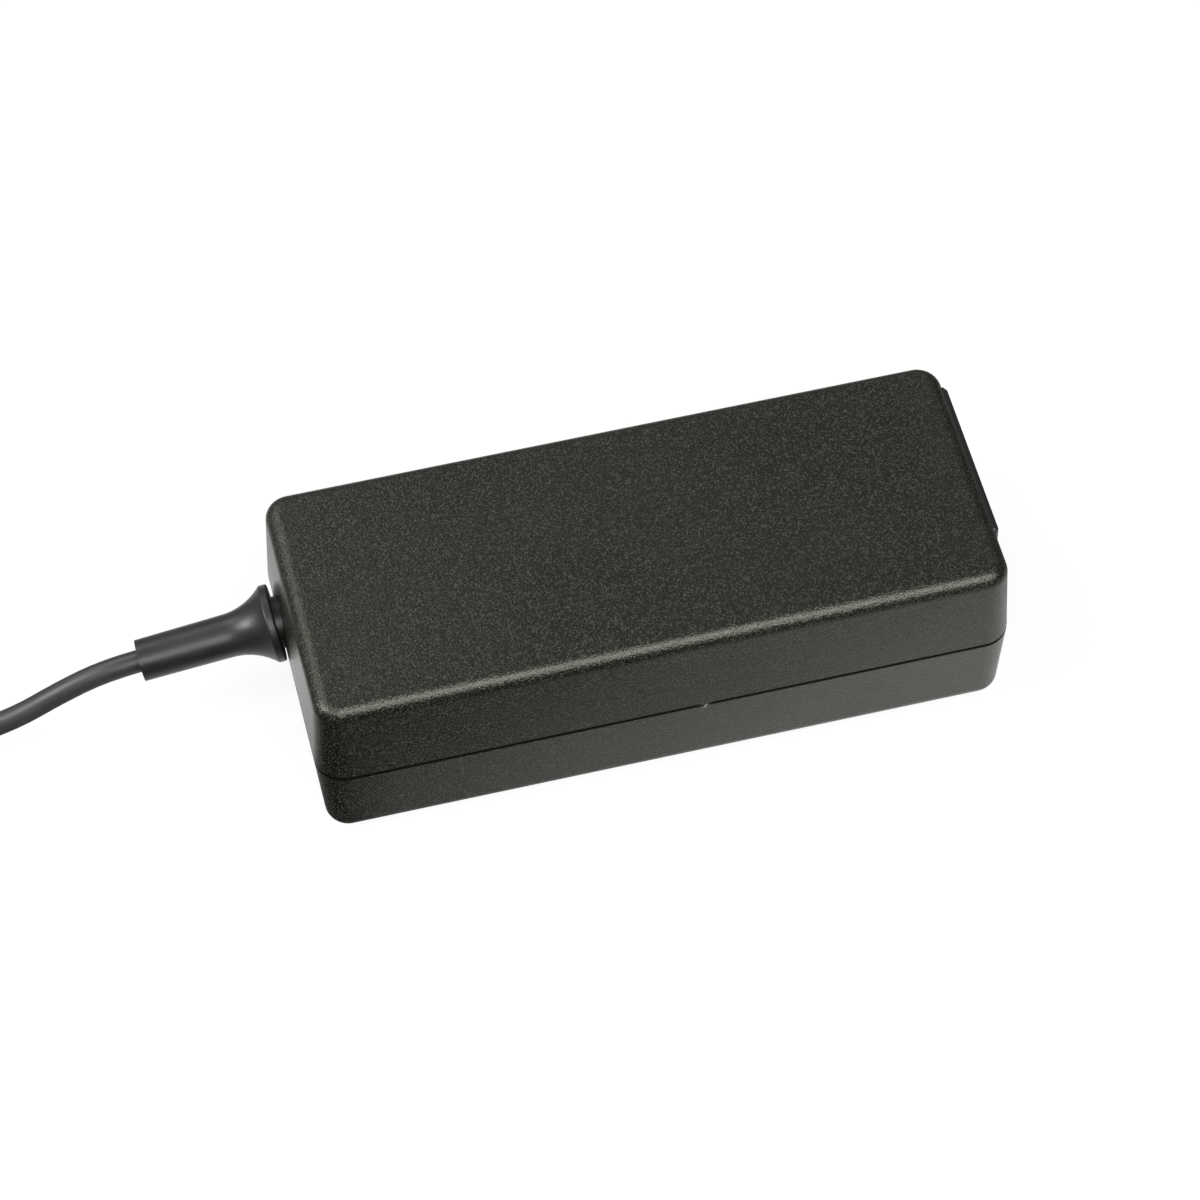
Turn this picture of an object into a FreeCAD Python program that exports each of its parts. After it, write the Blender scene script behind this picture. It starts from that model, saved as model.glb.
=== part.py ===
import FreeCAD, Part
import math
import os
import re
import Sketcher
from FreeCAD import Placement, Rotation, Vector

# Mains power adapter: two moulded shells welded round a converter board, a mains inlet in
# one end and a low-voltage lead with its barrel plug at the other.
# Millimetres. The origin is the middle of the underside, +X points to the mains inlet,
# +Y to the long side nearer the lead, +Z up.

# Driving dimensions
SIZES = (
    # housing
    ("case_length", 106.0),
    ("case_width", 43.5),
    ("case_height", 30.4),
    ("parting_height", 15.0),
    ("corner_radius", 4.4),
    ("draft_upper", 2.9),
    ("draft_lower", 3.9),
    ("top_edge", 2.3),
    ("bottom_edge", 2.7),
    ("wall", 2.2),
    ("seam_gap", 0.4),
    ("lip_height", 1.7),
    ("lip_thickness", 1.0),
    ("lip_clear", 0.15),
    ("cut_start", 1.0),
    ("cut_through", 1.2),
    # mains inlet and its frame in the end wall
    ("inlet_width", 28.4),
    ("inlet_back_margin", 3.6),
    ("inlet_top_margin", 3.0),
    ("inlet_bottom_margin", 5.0),
    ("inlet_corner", 0.7),
    ("inlet_proud", 0.5),
    ("inlet_depth", 19.5),
    ("inlet_clear", 0.15),
    ("inlet_bevel", 0.6),
    ("recess_side_rim", 1.95),
    ("recess_end_rim", 2.7),
    ("recess_depth", 16.5),
    ("recess_chamfer", 3.8),
    ("keeper_setback", 5.5),
    ("keeper_thickness", 1.8),
    ("keeper_bite", 1.0),
    ("keeper_clear", 0.2),
    ("keeper_side_room", 6.2),
    ("pin_width", 2.0),
    ("pin_height", 4.0),
    ("pin_setback", 1.5),
    ("pin_side_room", 5.25),
    ("pin_earth_rise", 4.0),
    ("pin_point", 0.7),
    ("pin_tail", 3.0),
    ("pin_foot", 1.0),
    # strain relief
    ("relief_side_room", 13.15),
    ("relief_gap", 0.45),
    ("relief_tilt", 7.2),
    ("collar_radius", 6.0),
    ("collar_thickness", 1.2),
    ("collar_bevel", 0.3),
    ("neck_radius", 4.0),
    ("neck_clear", 0.2),
    ("flange_radius", 6.0),
    ("flange_thickness", 2.0),
    ("flange_gap", 0.6),
    ("flare_length", 6.5),
    ("tail_root_radius", 3.32),
    ("tail_tip_radius", 3.2),
    ("tail_length", 20.1),
    ("saddle_thickness", 1.6),
    ("saddle_width", 13.0),
    ("saddle_room", 2.6),
    # circuit board and what holds it
    ("board_thickness", 1.6),
    ("board_left_gap", 5.5),
    ("board_right_gap", 0.5),
    ("board_side_gap", 2.0),
    ("board_end_room", 5.6),
    ("boss_height", 3.4),
    ("boss_radius", 2.2),
    ("boss_inset", 2.6),
    ("stud_radius", 1.0),
    ("stud_clear", 0.15),
    ("stud_rise", 1.2),
    # heat spreader and insulation
    ("spreader_thickness", 0.8),
    ("spreader_gap", 0.3),
    ("film_thickness", 0.4),
    ("film_side_room", 2.2),
    # mains side components
    ("fuse_length", 8.4),
    ("fuse_width", 4.0),
    ("fuse_height", 7.6),
    ("filter_cap_depth", 7.0),
    ("filter_gap", 1.5),
    ("filter_cap_height", 11.5),
    ("choke_core_width", 10.0),
    ("choke_core_depth", 4.0),
    ("choke_core_height", 12.6),
    ("choke_leg", 2.4),
    ("choke_wind", 1.1),
    ("winding_clear", 0.2),
    ("bulk_top_gap", 3.3),
    ("storage_gap", 2.4),
    ("crimp_place", 2.6),
    ("crimp_depth", 0.5),
    ("sink_length", 12.0),
    ("sink_thickness", 1.2),
    ("sink_head_room", 0.4),
    ("sink_fold", 4.6),
    ("switch_width", 9.6),
    ("switch_depth", 4.2),
    ("switch_tab", 1.2),
    ("switch_leg_share", 0.13),
    ("sink_top_gap", 2.0),
    ("switch_tab_share", 0.31),
    ("leg_width", 0.9),
    ("leg_thickness", 0.6),
    ("leg_pitch", 2.54),
    ("screw_radius", 1.25),
    ("screw_clear", 0.1),
    ("screw_head_radius", 1.9),
    ("screw_head_height", 1.6),
    # transformer
    ("core_width", 24.0),
    ("core_depth", 10.0),
    ("core_top_gap", 3.1),
    ("core_yoke", 2.6),
    ("core_leg", 3.0),
    ("core_post", 6.0),
    ("bobbin_length", 18.0),
    ("bobbin_wall", 0.8),
    ("bobbin_clear", 0.2),
    ("bobbin_rail", 1.6),
    ("winding_inset", 0.6),
    # output side components
    ("output_gap", 1.26),
    ("output_cap_height", 12.5),
    ("output_choke_radius", 3.6),
    ("output_choke_neck", 1.8),
    ("output_choke_height", 8.0),
    ("output_choke_rim", 1.2),
    ("safety_cap_radius", 3.6),
    ("safety_cap_thickness", 3.2),
    ("seat_gap", 0.2),
    # components under the board
    ("bridge_length", 8.5),
    ("bridge_width", 8.0),
    ("bridge_height", 2.2),
    ("controller_length", 5.0),
    ("controller_width", 4.0),
    ("controller_height", 1.5),
    ("coupler_length", 4.6),
    ("coupler_width", 6.5),
    ("coupler_height", 2.1),
    ("rectifier_length", 5.2),
    ("rectifier_width", 6.0),
    ("rectifier_height", 1.2),
    # low-voltage lead and its coil
    ("cord_diameter", 3.5),
    ("core_wire_diameter", 1.6),
    ("core_wire_spread", 1.1),
    ("core_wire_bend", 2.4),
    ("core_wire_reach", 2.4),
    ("coil_x", -138.0),
    ("coil_y", -14.7),
    ("coil_lift", 0.8),
    ("coil_outer_turn", 23.7),
    ("coil_lower_columns", 4),
    ("coil_upper_columns", 3),
    ("coil_layers", 4),
    ("tie_width", 6.0),
    ("tie_clear", 0.1),
    # barrel plug
    ("plug_x", -139.5),
    ("plug_y", 18.0),
    ("plug_grip_radius", 5.0),
    ("plug_grip_length", 15.0),
    ("plug_boot_length", 13.0),
    ("plug_boot_tip", 2.7),
    ("plug_boot_root", 3.7),
    ("plug_edge", 1.2),
    ("plug_ring_count", 4),
    ("plug_ring_depth", 0.4),
    ("plug_ring_width", 1.2),
    ("plug_flute_count", 12),
    ("plug_flute_radius", 0.6),
    ("barrel_radius", 2.75),
    ("barrel_length", 9.5),
    ("barrel_wall", 0.4),
    ("barrel_root_length", 7.0),
    ("barrel_collar", 0.6),
    ("contact_bore", 1.25),
    ("contact_wall", 0.4),
    ("contact_setback", 0.8),
    ("contact_bore_depth", 11.0),
)

# The lead's route from the strain relief to the coil, and from the coil to the plug
LEAD_ROUTE = (
    (-74.587, 8.6, 12.406),
    (-80.044, 8.6, 11.717),
    (-87.44, 8.4, 8.66),
    (-94.54, 8.1, 4.97),
    (-103.9, 8.1, 2.65),
    (-115.6, 8.9, 2.1),
    (-127.0, 9.1, 2.55),
    (-137.0, 9.0, 2.55),
)
TAIL_ROUTE = (
    (-114.3, -14.7, 13.05),
    (-114.3, -5.5, 12.3),
    (-114.3, 3.7, 10.0),
    (-119.5, 12.8, 7.2),
    (-128.6, 18.0, 5.0),
    (-139.5, 18.0, 5.0),
)

doc = FreeCAD.newDocument("power_adapter")
sheet = doc.addObject("Spreadsheet::Sheet", "sizes")
for row, (alias, value) in enumerate(SIZES, 1):
    sheet.set("A%d" % row, alias)
    sheet.set("B%d" % row, str(value))
    sheet.setAlias("B%d" % row, alias)
doc.recompute()
ALIASES = {alias for alias, value in SIZES}

# Places that several pieces share, written with the sheet's names
FLOOR = "wall"
CEILING = "(case_height - wall)"
SEAM_LOW = "(parting_height - seam_gap / 2)"
SEAM_HIGH = "(parting_height + seam_gap / 2)"
BOARD_BOTTOM = "(wall + boss_height)"
BOARD_TOP = "(wall + boss_height + board_thickness)"
BOARD_LEFT = "(wall + board_left_gap - case_length / 2)"
BOARD_RIGHT = "(case_length / 2 + inlet_proud - inlet_depth - board_right_gap)"
BOARD_HALF = "(case_width / 2 - wall - board_side_gap)"
BOSS_LEFT = "(%s + boss_inset)" % BOARD_LEFT
BOSS_RIGHT = "(%s - boss_inset)" % BOARD_RIGHT
BOSS_SIDE = "(%s - boss_inset)" % BOARD_HALF
ZONE_LEFT = "(%s + board_end_room)" % BOARD_LEFT
ZONE_RIGHT = "(%s - board_end_room)" % BOARD_RIGHT
ZONE_HALF = "(%s - spreader_thickness - film_thickness)" % BOARD_HALF
INLET_FACE = "(case_length / 2 + inlet_proud)"
INLET_Y = "(case_width / 2 - inlet_back_margin - inlet_width / 2)"
INLET_Z = "((case_height - inlet_top_margin + inlet_bottom_margin) / 2)"
INLET_HEIGHT = "(case_height - inlet_top_margin - inlet_bottom_margin)"
RECESS_WIDTH = "(inlet_width - 2 * recess_side_rim)"
RECESS_HEIGHT = "(%s - 2 * recess_end_rim)" % INLET_HEIGHT
PIN_SPACING = "(%s - 2 * pin_side_room)" % RECESS_WIDTH
KEEPER_WIDTH = "(inlet_width - 2 * keeper_side_room)"
KEEPER_X = "(case_length / 2 - wall - keeper_setback)"
FLANGE_START = "(wall + flange_gap)"
RELIEF_X = "(-case_length / 2)"
RELIEF_Y = "(case_width / 2 - relief_side_room)"
PLUG_FACE = "(plug_boot_length + plug_grip_length)"
# Components that fill the room between the board, the covers and their neighbours
COVER_LOW = "(%s - spreader_gap - spreader_thickness - film_thickness)" % CEILING
ROOM_HEIGHT = "(%s - %s)" % (COVER_LOW, BOARD_TOP)
ROOM_WIDTH = "(2 * %s)" % ZONE_HALF
CHOKE_WIDTH = "(choke_core_width + 2 * choke_wind)"
CHOKE_DEPTH = "(choke_core_depth + 2 * choke_wind)"
SWITCH_GROUP_DEPTH = "(sink_thickness + switch_depth)"
FILTER_CAP_WIDTH = "(%s - fuse_width - %s - 4 * filter_gap)" % (ROOM_WIDTH, CHOKE_WIDTH)
BULK_CAP_LENGTH = "(%s - %s - 3 * storage_gap)" % (ROOM_WIDTH, SWITCH_GROUP_DEPTH)
BULK_CAP_RADIUS = "((%s - seat_gap - bulk_top_gap) / 2)" % ROOM_HEIGHT
SINK_FOLD_LOW = "(%s - sink_top_gap - sink_thickness)" % ROOM_HEIGHT
SWITCH_TOP = "(%s - sink_head_room)" % SINK_FOLD_LOW
SWITCH_CASE_TOP = "((1 - switch_tab_share) * %s)" % SWITCH_TOP
SWITCH_LEG_RISE = "(switch_leg_share * %s)" % SWITCH_TOP
SWITCH_HOLE_Z = "((1 - switch_tab_share / 2) * %s)" % SWITCH_TOP
CORE_HALF_HEIGHT = "((%s - core_top_gap) / 2)" % ROOM_HEIGHT
OUTPUT_CAP_RADIUS = ("((%s - 2 * output_choke_radius - safety_cap_thickness - 5 * output_gap) / 4)"
                     % ROOM_WIDTH)
COIL_OUTER = "(coil_outer_turn + cord_diameter / 2)"
COIL_LOWER_INNER = "(coil_outer_turn - (coil_lower_columns - 0.5) * cord_diameter)"
COIL_UPPER_INNER = "(coil_outer_turn - (coil_upper_columns - 0.5) * cord_diameter)"
COIL_HEIGHT = "(coil_layers * cord_diameter)"

pieces = []


# Expressions and checks

def cells(text):
    """The same expression with each size written as its cell in the sheet"""
    return re.sub(r"[a-z_]+", lambda word: "sizes." + word[0] if word[0] in ALIASES else word[0], text)


def number(text):
    """An expression's value now"""
    return float(sheet.evalExpression(cells(text)))


def bind(thing, **properties):
    """Ties properties to expressions; a double underscore in a name stands for a dot"""
    for name, text in properties.items():
        thing.setExpression(name.replace("__", "."), cells(text))


def settle(thing):
    """Recomputes and stops on a feature that failed"""
    doc.recompute()
    if "Invalid" in thing.State or "Error" in thing.State:
        raise RuntimeError(thing.Label + " failed")
    return thing


# Bodies, sketches and features

def new_body(label, x="0", y="0", z="0", turn=0):
    """A body with its place on the adapter, turned about Z by some degrees"""
    body = doc.addObject("PartDesign::Body", label)
    body.Label = label
    body.Placement = Placement(Vector(), Rotation(Vector(0, 0, 1), turn))
    bind(body, Placement__Base__x=x, Placement__Base__y=y, Placement__Base__z=z)
    pieces.append(body)
    return body


def new_sketch(body, plane, offset="0"):
    """A sketch on one of the body's own planes, moved along the plane's normal"""
    sketch = body.newObject("Sketcher::SketchObject", body.Label + "_sketch")
    base = [feature for feature in body.Origin.OriginFeatures if feature.Role == plane][0]
    sketch.AttachmentSupport = (base, [""])
    sketch.MapMode = "FlatFace"
    bind(sketch, AttachmentOffset__Base__z=offset)
    return sketch


def drive(sketch, kind, first, first_end, second, second_end, text):
    """One driven distance between two points of a sketch"""
    size = number(text)
    place = sketch.addConstraint(Sketcher.Constraint(kind, first, first_end, second, second_end, size))
    sketch.setExpression("Constraints[%d]" % place, cells(text))


def polygon(sketch, corners):
    """A closed outline whose corners are each driven from the sketch's origin"""
    first = sketch.GeometryCount
    spots = [Vector(number(x), number(y), 0) for x, y in corners]
    after = spots[1:] + spots[:1]
    sketch.addGeometry([Part.LineSegment(a, b) for a, b in zip(spots, after)], False)
    for index in range(len(corners)):
        follower = first + (index + 1) % len(corners)
        sketch.addConstraint(Sketcher.Constraint("Coincident", first + index, 2, follower, 1))
    for index, (x, y) in enumerate(corners):
        drive(sketch, "DistanceX", -1, 1, first + index, 1, x)
        drive(sketch, "DistanceY", -1, 1, first + index, 1, y)
    return sketch


def rectangle(sketch, low_x, low_y, high_x, high_y):
    """A driven rectangle"""
    return polygon(sketch, ((low_x, low_y), (high_x, low_y), (high_x, high_y), (low_x, high_y)))


def circle(sketch, x, y, radius):
    """A driven circle"""
    first = sketch.GeometryCount
    round_line = Part.Circle(Vector(number(x), number(y), 0), Vector(0, 0, 1), number(radius))
    sketch.addGeometry([round_line], False)
    drive(sketch, "DistanceX", -1, 1, first, 3, x)
    drive(sketch, "DistanceY", -1, 1, first, 3, y)
    place = sketch.addConstraint(Sketcher.Constraint("Radius", first, number(radius)))
    sketch.setExpression("Constraints[%d]" % place, cells(radius))
    return sketch


def rounded_outline(sketch, inset):
    """The case's plan outline, moved inwards, with its corners rounded"""
    first = sketch.GeometryCount
    long_half = "(case_length / 2 - (%s))" % inset
    wide_half = "(case_width / 2 - (%s))" % inset
    corner = "(corner_radius - (%s))" % inset
    a, b, r = number(long_half), number(wide_half), number(corner)
    quarter = math.pi / 2
    lines = []
    for turn, (x, y) in enumerate(((a, -b), (a, b), (-a, b), (-a, -b))):
        centre = Vector(math.copysign(a - r, x), math.copysign(b - r, y), 0)
        start = (turn - 1) * quarter
        lines.append(Part.ArcOfCircle(Part.Circle(centre, Vector(0, 0, 1), r), start, start + quarter))
    ends = [(arc.StartPoint, arc.EndPoint) for arc in lines]
    for turn in range(4):
        lines.append(Part.LineSegment(ends[turn][1], ends[(turn + 1) % 4][0]))
    sketch.addGeometry(lines, False)
    for turn in range(4):
        line = first + 4 + turn
        sketch.addConstraint(Sketcher.Constraint("Tangent", first + turn, 2, line, 1))
        sketch.addConstraint(Sketcher.Constraint("Tangent", line, 2, first + (turn + 1) % 4, 1))
        sketch.addConstraint(Sketcher.Constraint(("Vertical", "Horizontal")[turn % 2], line))
    for turn in range(3):
        sketch.addConstraint(Sketcher.Constraint("Equal", first + turn, first + turn + 1))
    drive(sketch, "DistanceX", -1, 1, first + 4, 1, long_half)
    drive(sketch, "DistanceX", first + 6, 1, -1, 1, long_half)
    drive(sketch, "DistanceY", -1, 1, first + 5, 1, wide_half)
    drive(sketch, "DistanceY", first + 7, 1, -1, 1, wide_half)
    place = sketch.addConstraint(Sketcher.Constraint("Radius", first, r))
    sketch.setExpression("Constraints[%d]" % place, cells(corner))
    return sketch


def pad(body, sketch, length, back=False, both=False, draft=None):
    """Material grown from a sketch: forward, backward or to both sides"""
    feature = body.newObject("PartDesign::Pad", body.Label + "_pad")
    feature.Profile = sketch
    feature.Reversed = back
    if both:
        feature.SideType = "Symmetric"
    bind(feature, Length=length)
    if draft:
        bind(feature, TaperAngle="-(%s)" % draft)
    return settle(feature)


def pocket(body, sketch, depth, back=False, both=False, draft=None):
    """Material cut away from a sketch, which has to change the body's volume"""
    before = body.Shape.Volume
    feature = body.newObject("PartDesign::Pocket", body.Label + "_pocket")
    feature.Profile = sketch
    feature.Reversed = back
    if both:
        feature.SideType = "Symmetric"
    bind(feature, Length=depth)
    if draft:
        bind(feature, TaperAngle="-(%s)" % draft)
    settle(feature)
    if not body.Shape.Volume < before:
        raise RuntimeError(feature.Label + " cut nothing")
    return feature


def revolve(body, sketch, axis):
    """A full turn of a sketch about one of its own axes"""
    feature = body.newObject("PartDesign::Revolution", body.Label + "_turned")
    feature.Profile = sketch
    feature.ReferenceAxis = (sketch, [axis])
    feature.Angle = 360
    return settle(feature)


def dress(body, kind, size, wanted):
    """A fillet or chamfer on the edges that a test picks"""
    base = body.Tip
    names = ["Edge%d" % place for place, edge in enumerate(base.Shape.Edges, 1) if wanted(edge)]
    if not names:
        raise RuntimeError(body.Label + " has no such edge")
    feature = body.newObject("PartDesign::" + kind, body.Label + "_edge")
    feature.Base = (base, names)
    bind(feature, **{"Radius" if kind == "Fillet" else "Size": size})
    return settle(feature)


def level(edge, height):
    """Whether an edge lies at one height of its body"""
    box = edge.BoundBox
    return abs(box.ZMin - height) < 0.01 and abs(box.ZMax - height) < 0.01


def upright(edge):
    """Whether an edge is a straight vertical one"""
    box = edge.BoundBox
    return box.XLength < 0.01 and box.YLength < 0.01


def across(edge, place):
    """Whether an edge lies in a plane square to X"""
    box = edge.BoundBox
    return abs(box.XMin - place) < 0.01 and abs(box.XMax - place) < 0.01


def round_edge(edge, radius):
    """Whether an edge is round, with one radius"""
    return isinstance(edge.Curve, Part.Circle) and abs(edge.Curve.Radius - radius) < 0.01


def block(label, x, y, z, length, width, height, edge=None, down=False):
    """A moulded or cased component with a rectangular body standing on, or hung under, z"""
    body = new_body(label, x, y, z)
    half_x = "(%s) / 2" % length
    half_y = "(%s) / 2" % width
    outline = rectangle(new_sketch(body, "XY_Plane"), "-" + half_x, "-" + half_y, half_x, half_y)
    pad(body, outline, height, back=down)
    if edge:
        dress(body, "Fillet", edge, upright)
    return body


def spread(low, high, widths):
    """Centres of pieces set in a row between two places, with equal gaps"""
    taken = " - ".join("(%s)" % width for width in widths)
    gap = "(((%s) - (%s) - %s) / %d)" % (high, low, taken, len(widths) + 1)
    centres = []
    for place, width in enumerate(widths):
        before = "".join(" + (%s)" % earlier for earlier in widths[:place])
        centres.append("((%s) + %d * %s%s + (%s) / 2)" % (low, place + 1, gap, before, width))
    return centres


def keep_shape(label, shape, placement=None):
    """A piece whose shape is worked out here from the sheet's sizes"""
    feature = doc.addObject("Part::Feature", label)
    feature.Label = label
    feature.Shape = shape
    feature.Placement = placement or Placement()
    pieces.append(feature)
    return feature


# Housing

def inlet_window(body, low, high):
    """The half of the inlet's opening that one shell has in its end wall"""
    reach = "(inlet_width / 2 + inlet_clear)"
    sketch = new_sketch(body, "YZ_Plane", "case_length / 2 + cut_start")
    rectangle(sketch, "%s - %s" % (INLET_Y, reach), low, "%s + %s" % (INLET_Y, reach), high)
    pocket(body, sketch, "cut_start + wall + cut_through")


def relief_hole(body):
    """The round hole for the lead's strain relief, half in each shell"""
    sketch = new_sketch(body, "YZ_Plane", "-case_length / 2 - cut_start")
    circle(sketch, RELIEF_Y, "parting_height", "neck_radius + neck_clear")
    pocket(body, sketch, "cut_start + wall + cut_through", back=True)


def keeper(body, low, high):
    """A rib across the shell that stands in the groove round the inlet housing"""
    sketch = new_sketch(body, "YZ_Plane", KEEPER_X)
    low_y = "%s - %s / 2" % (INLET_Y, KEEPER_WIDTH)
    high_y = "%s + %s / 2" % (INLET_Y, KEEPER_WIDTH)
    pad(body, rectangle(sketch, low_y, low, high_y, high), "keeper_thickness", both=True)


def saddle(body, low, high):
    """A rib behind the strain relief's flange that keeps it from being pushed in"""
    start = "%s + %s + flange_thickness + relief_gap" % (RELIEF_X, FLANGE_START)
    sketch = new_sketch(body, "YZ_Plane", start)
    low_y = RELIEF_Y + " - saddle_width / 2"
    high_y = RELIEF_Y + " + saddle_width / 2"
    pad(body, rectangle(sketch, low_y, low, high_y, high), "saddle_thickness")


def at_bosses(sketch, radius):
    """Four circles, one at each corner of the board"""
    for x in (BOSS_LEFT, BOSS_RIGHT):
        for side in ("-", ""):
            circle(sketch, x, side + BOSS_SIDE, radius)
    return sketch


def make_lower_shell():
    """Bottom tray: drafted walls, a raised lip all round, bosses with studs for the board"""
    body = new_body("lower_shell")
    outline = rounded_outline(new_sketch(body, "XY_Plane", SEAM_LOW), "0")
    pad(body, outline, SEAM_LOW, back=True, draft="draft_lower")
    dress(body, "Fillet", "bottom_edge", lambda edge: level(edge, 0))
    hollow = rounded_outline(new_sketch(body, "XY_Plane", SEAM_LOW), "wall")
    pocket(body, hollow, "%s - wall" % SEAM_LOW, draft="draft_lower")
    lip = rounded_outline(new_sketch(body, "XY_Plane", SEAM_LOW), "wall - lip_thickness")
    rounded_outline(lip, "wall")
    pad(body, lip, "lip_height")
    inlet_window(body, "inlet_bottom_margin - inlet_clear", "parting_height + lip_height + 1")
    relief_hole(body)
    keeper(body, "wall / 2", "inlet_bottom_margin + keeper_bite - keeper_clear")
    saddle(body, "wall / 2", "parting_height - saddle_room")
    pad(body, at_bosses(new_sketch(body, "XY_Plane", "wall / 2"), "boss_radius"), "wall / 2 + boss_height")
    studs = at_bosses(new_sketch(body, "XY_Plane", BOARD_BOTTOM), "stud_radius")
    pad(body, studs, "board_thickness + stud_rise")
    return body


def make_upper_shell():
    """Top cover: drafted walls, a rebate over the lip, posts that press on the board"""
    body = new_body("upper_shell")
    outline = rounded_outline(new_sketch(body, "XY_Plane", SEAM_HIGH), "0")
    pad(body, outline, "case_height - %s" % SEAM_HIGH, draft="draft_upper")
    dress(body, "Fillet", "top_edge", lambda edge: level(edge, number("case_height")))
    hollow = rounded_outline(new_sketch(body, "XY_Plane", SEAM_HIGH), "wall")
    pocket(body, hollow, "%s - %s" % (CEILING, SEAM_HIGH), back=True, draft="draft_upper")
    rebate = rounded_outline(new_sketch(body, "XY_Plane", SEAM_HIGH), "wall - lip_thickness - lip_clear")
    pocket(body, rebate, "lip_height - seam_gap", back=True)
    inlet_window(body, "parting_height - 1", "case_height - inlet_top_margin + inlet_clear")
    relief_hole(body)
    keeper(body, "case_height - inlet_top_margin - keeper_bite + keeper_clear", "case_height - wall / 2")
    saddle(body, "parting_height + saddle_room", "case_height - wall / 2")
    posts = at_bosses(new_sketch(body, "XY_Plane", BOARD_TOP), "boss_radius")
    pad(body, posts, "case_height - wall / 2 - %s" % BOARD_TOP)
    bores = at_bosses(new_sketch(body, "XY_Plane", BOARD_TOP), "stud_radius + stud_clear")
    pocket(body, bores, "stud_rise + stud_clear", back=True)
    return body


# Mains inlet

def make_inlet_housing():
    """Moulded inlet: a keyed recess for the mains connector, three pin slots, keeper grooves"""
    body = new_body("inlet_housing", INLET_FACE, INLET_Y, INLET_Z)
    half_y = "inlet_width / 2"
    half_z = "%s / 2" % INLET_HEIGHT
    frame = rectangle(new_sketch(body, "YZ_Plane"), "-" + half_y, "-" + half_z, half_y, half_z)
    pad(body, frame, "inlet_depth", back=True)
    dress(body, "Fillet", "inlet_corner", lambda edge: edge.BoundBox.XLength > number("inlet_depth") / 2)
    dress(body, "Chamfer", "inlet_bevel", lambda edge: across(edge, 0))
    side = RECESS_WIDTH + " / 2"
    rise = RECESS_HEIGHT + " / 2"
    cut = "recess_chamfer"
    recess = polygon(new_sketch(body, "YZ_Plane"), (
        ("-" + side, "-" + rise),
        (side, "-" + rise),
        (side, "%s - %s" % (rise, cut)),
        ("%s - %s" % (side, cut), rise),
        ("%s - %s" % (cut, side), rise),
        ("-" + side, "%s - %s" % (rise, cut)),
    ))
    pocket(body, recess, "recess_depth")
    slots = new_sketch(body, "YZ_Plane")
    for y, z in PIN_PLACES.values():
        rectangle(slots, y + " - pin_width / 2", z + " - pin_height / 2",
                  y + " + pin_width / 2", z + " + pin_height / 2")
    pocket(body, slots, "inlet_depth + 1")
    grooves = new_sketch(body, "XZ_Plane")
    middle = "(%s - %s)" % (KEEPER_X, INLET_FACE)
    low_x = "%s - keeper_thickness / 2 - keeper_clear" % middle
    high_x = "%s + keeper_thickness / 2 + keeper_clear" % middle
    rectangle(grooves, low_x, half_z + " - keeper_bite", high_x, half_z + " + 1")
    rectangle(grooves, low_x, "-%s - 1" % half_z, high_x, "keeper_bite - %s" % half_z)
    pocket(body, grooves, "inlet_width + 2", both=True)
    return body


PIN_PLACES = {
    "line_pin": (PIN_SPACING + " / 2", "-pin_earth_rise / 2"),
    "neutral_pin": ("-%s / 2" % PIN_SPACING, "-pin_earth_rise / 2"),
    "earth_pin": ("0", "pin_earth_rise / 2"),
}


def make_pin(label, y, z):
    """A flat pin with a bevelled point, and a foot behind the inlet bent down to the board"""
    height = "(%s + %s)" % (INLET_Z, z)
    body = new_body(label, INLET_FACE, "%s + %s" % (INLET_Y, y), height)
    half = "pin_height / 2"
    back = "-inlet_depth - pin_tail"
    side = polygon(new_sketch(body, "XZ_Plane"), (
        ("-pin_setback - pin_point", half),
        ("-pin_setback", half + " - pin_point"),
        ("-pin_setback", "pin_point - " + half),
        ("-pin_setback - pin_point", "-" + half),
        (back + " + pin_foot", "-" + half),
        (back + " + pin_foot", "%s - %s" % (BOARD_TOP, height)),
        (back, "%s - %s" % (BOARD_TOP, height)),
        (back, half),
    ))
    pad(body, side, "pin_width", both=True)
    tip = -number("pin_setback")
    dress(body, "Chamfer", "pin_point / 2", lambda edge: across(edge, tip) and upright(edge))
    return body


# Strain relief

def relief_outline(sketch):
    """Half section of the collar, its flare and the tail, outwards along the sketch's axis"""
    half = "collar_thickness / 2"
    flare_end = "-%s - flare_length" % half
    tail_end = "-%s - tail_length" % half
    corners = (
        (half, "0"),
        (half, "collar_radius"),
        ("-" + half, "collar_radius"),
        (flare_end, "tail_root_radius"),
        (tail_end, "tail_tip_radius"),
        (tail_end, "0"),
    )
    spots = [Vector(number(x), number(y), 0) for x, y in corners]
    # The flare is an arc that leaves the tail level with the axis and ends at the collar's edge
    run, rise = spots[2].x - spots[3].x, spots[2].y - spots[3].y
    radius = (run ** 2 + rise ** 2) / (2 * rise)
    round_line = Part.Circle(spots[3] + Vector(0, radius, 0), Vector(0, 0, 1), radius)
    flare = Part.ArcOfCircle(round_line, -math.pi / 2, math.atan2(rise - radius, run))
    lines = [Part.LineSegment(a, b) for a, b in zip(spots, spots[1:] + spots[:1])]
    lines[2] = flare
    sketch.addGeometry(lines, False)
    for first, first_end, second, second_end in (
        (0, 2, 1, 1), (1, 2, 2, 2), (2, 1, 3, 1), (3, 2, 4, 1), (4, 2, 5, 1), (5, 2, 0, 1),
    ):
        sketch.addConstraint(Sketcher.Constraint("Coincident", first, first_end, second, second_end))
    for index, (x, y) in enumerate(corners):
        # The arc runs backwards, so its corner at the collar is its end
        end = 2 if index == 2 else 1
        drive(sketch, "DistanceX", -1, 1, index, end, x)
        drive(sketch, "DistanceY", -1, 1, index, end, y)
    drive(sketch, "DistanceX", -1, 1, 2, 3, flare_end)
    return sketch


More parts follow.
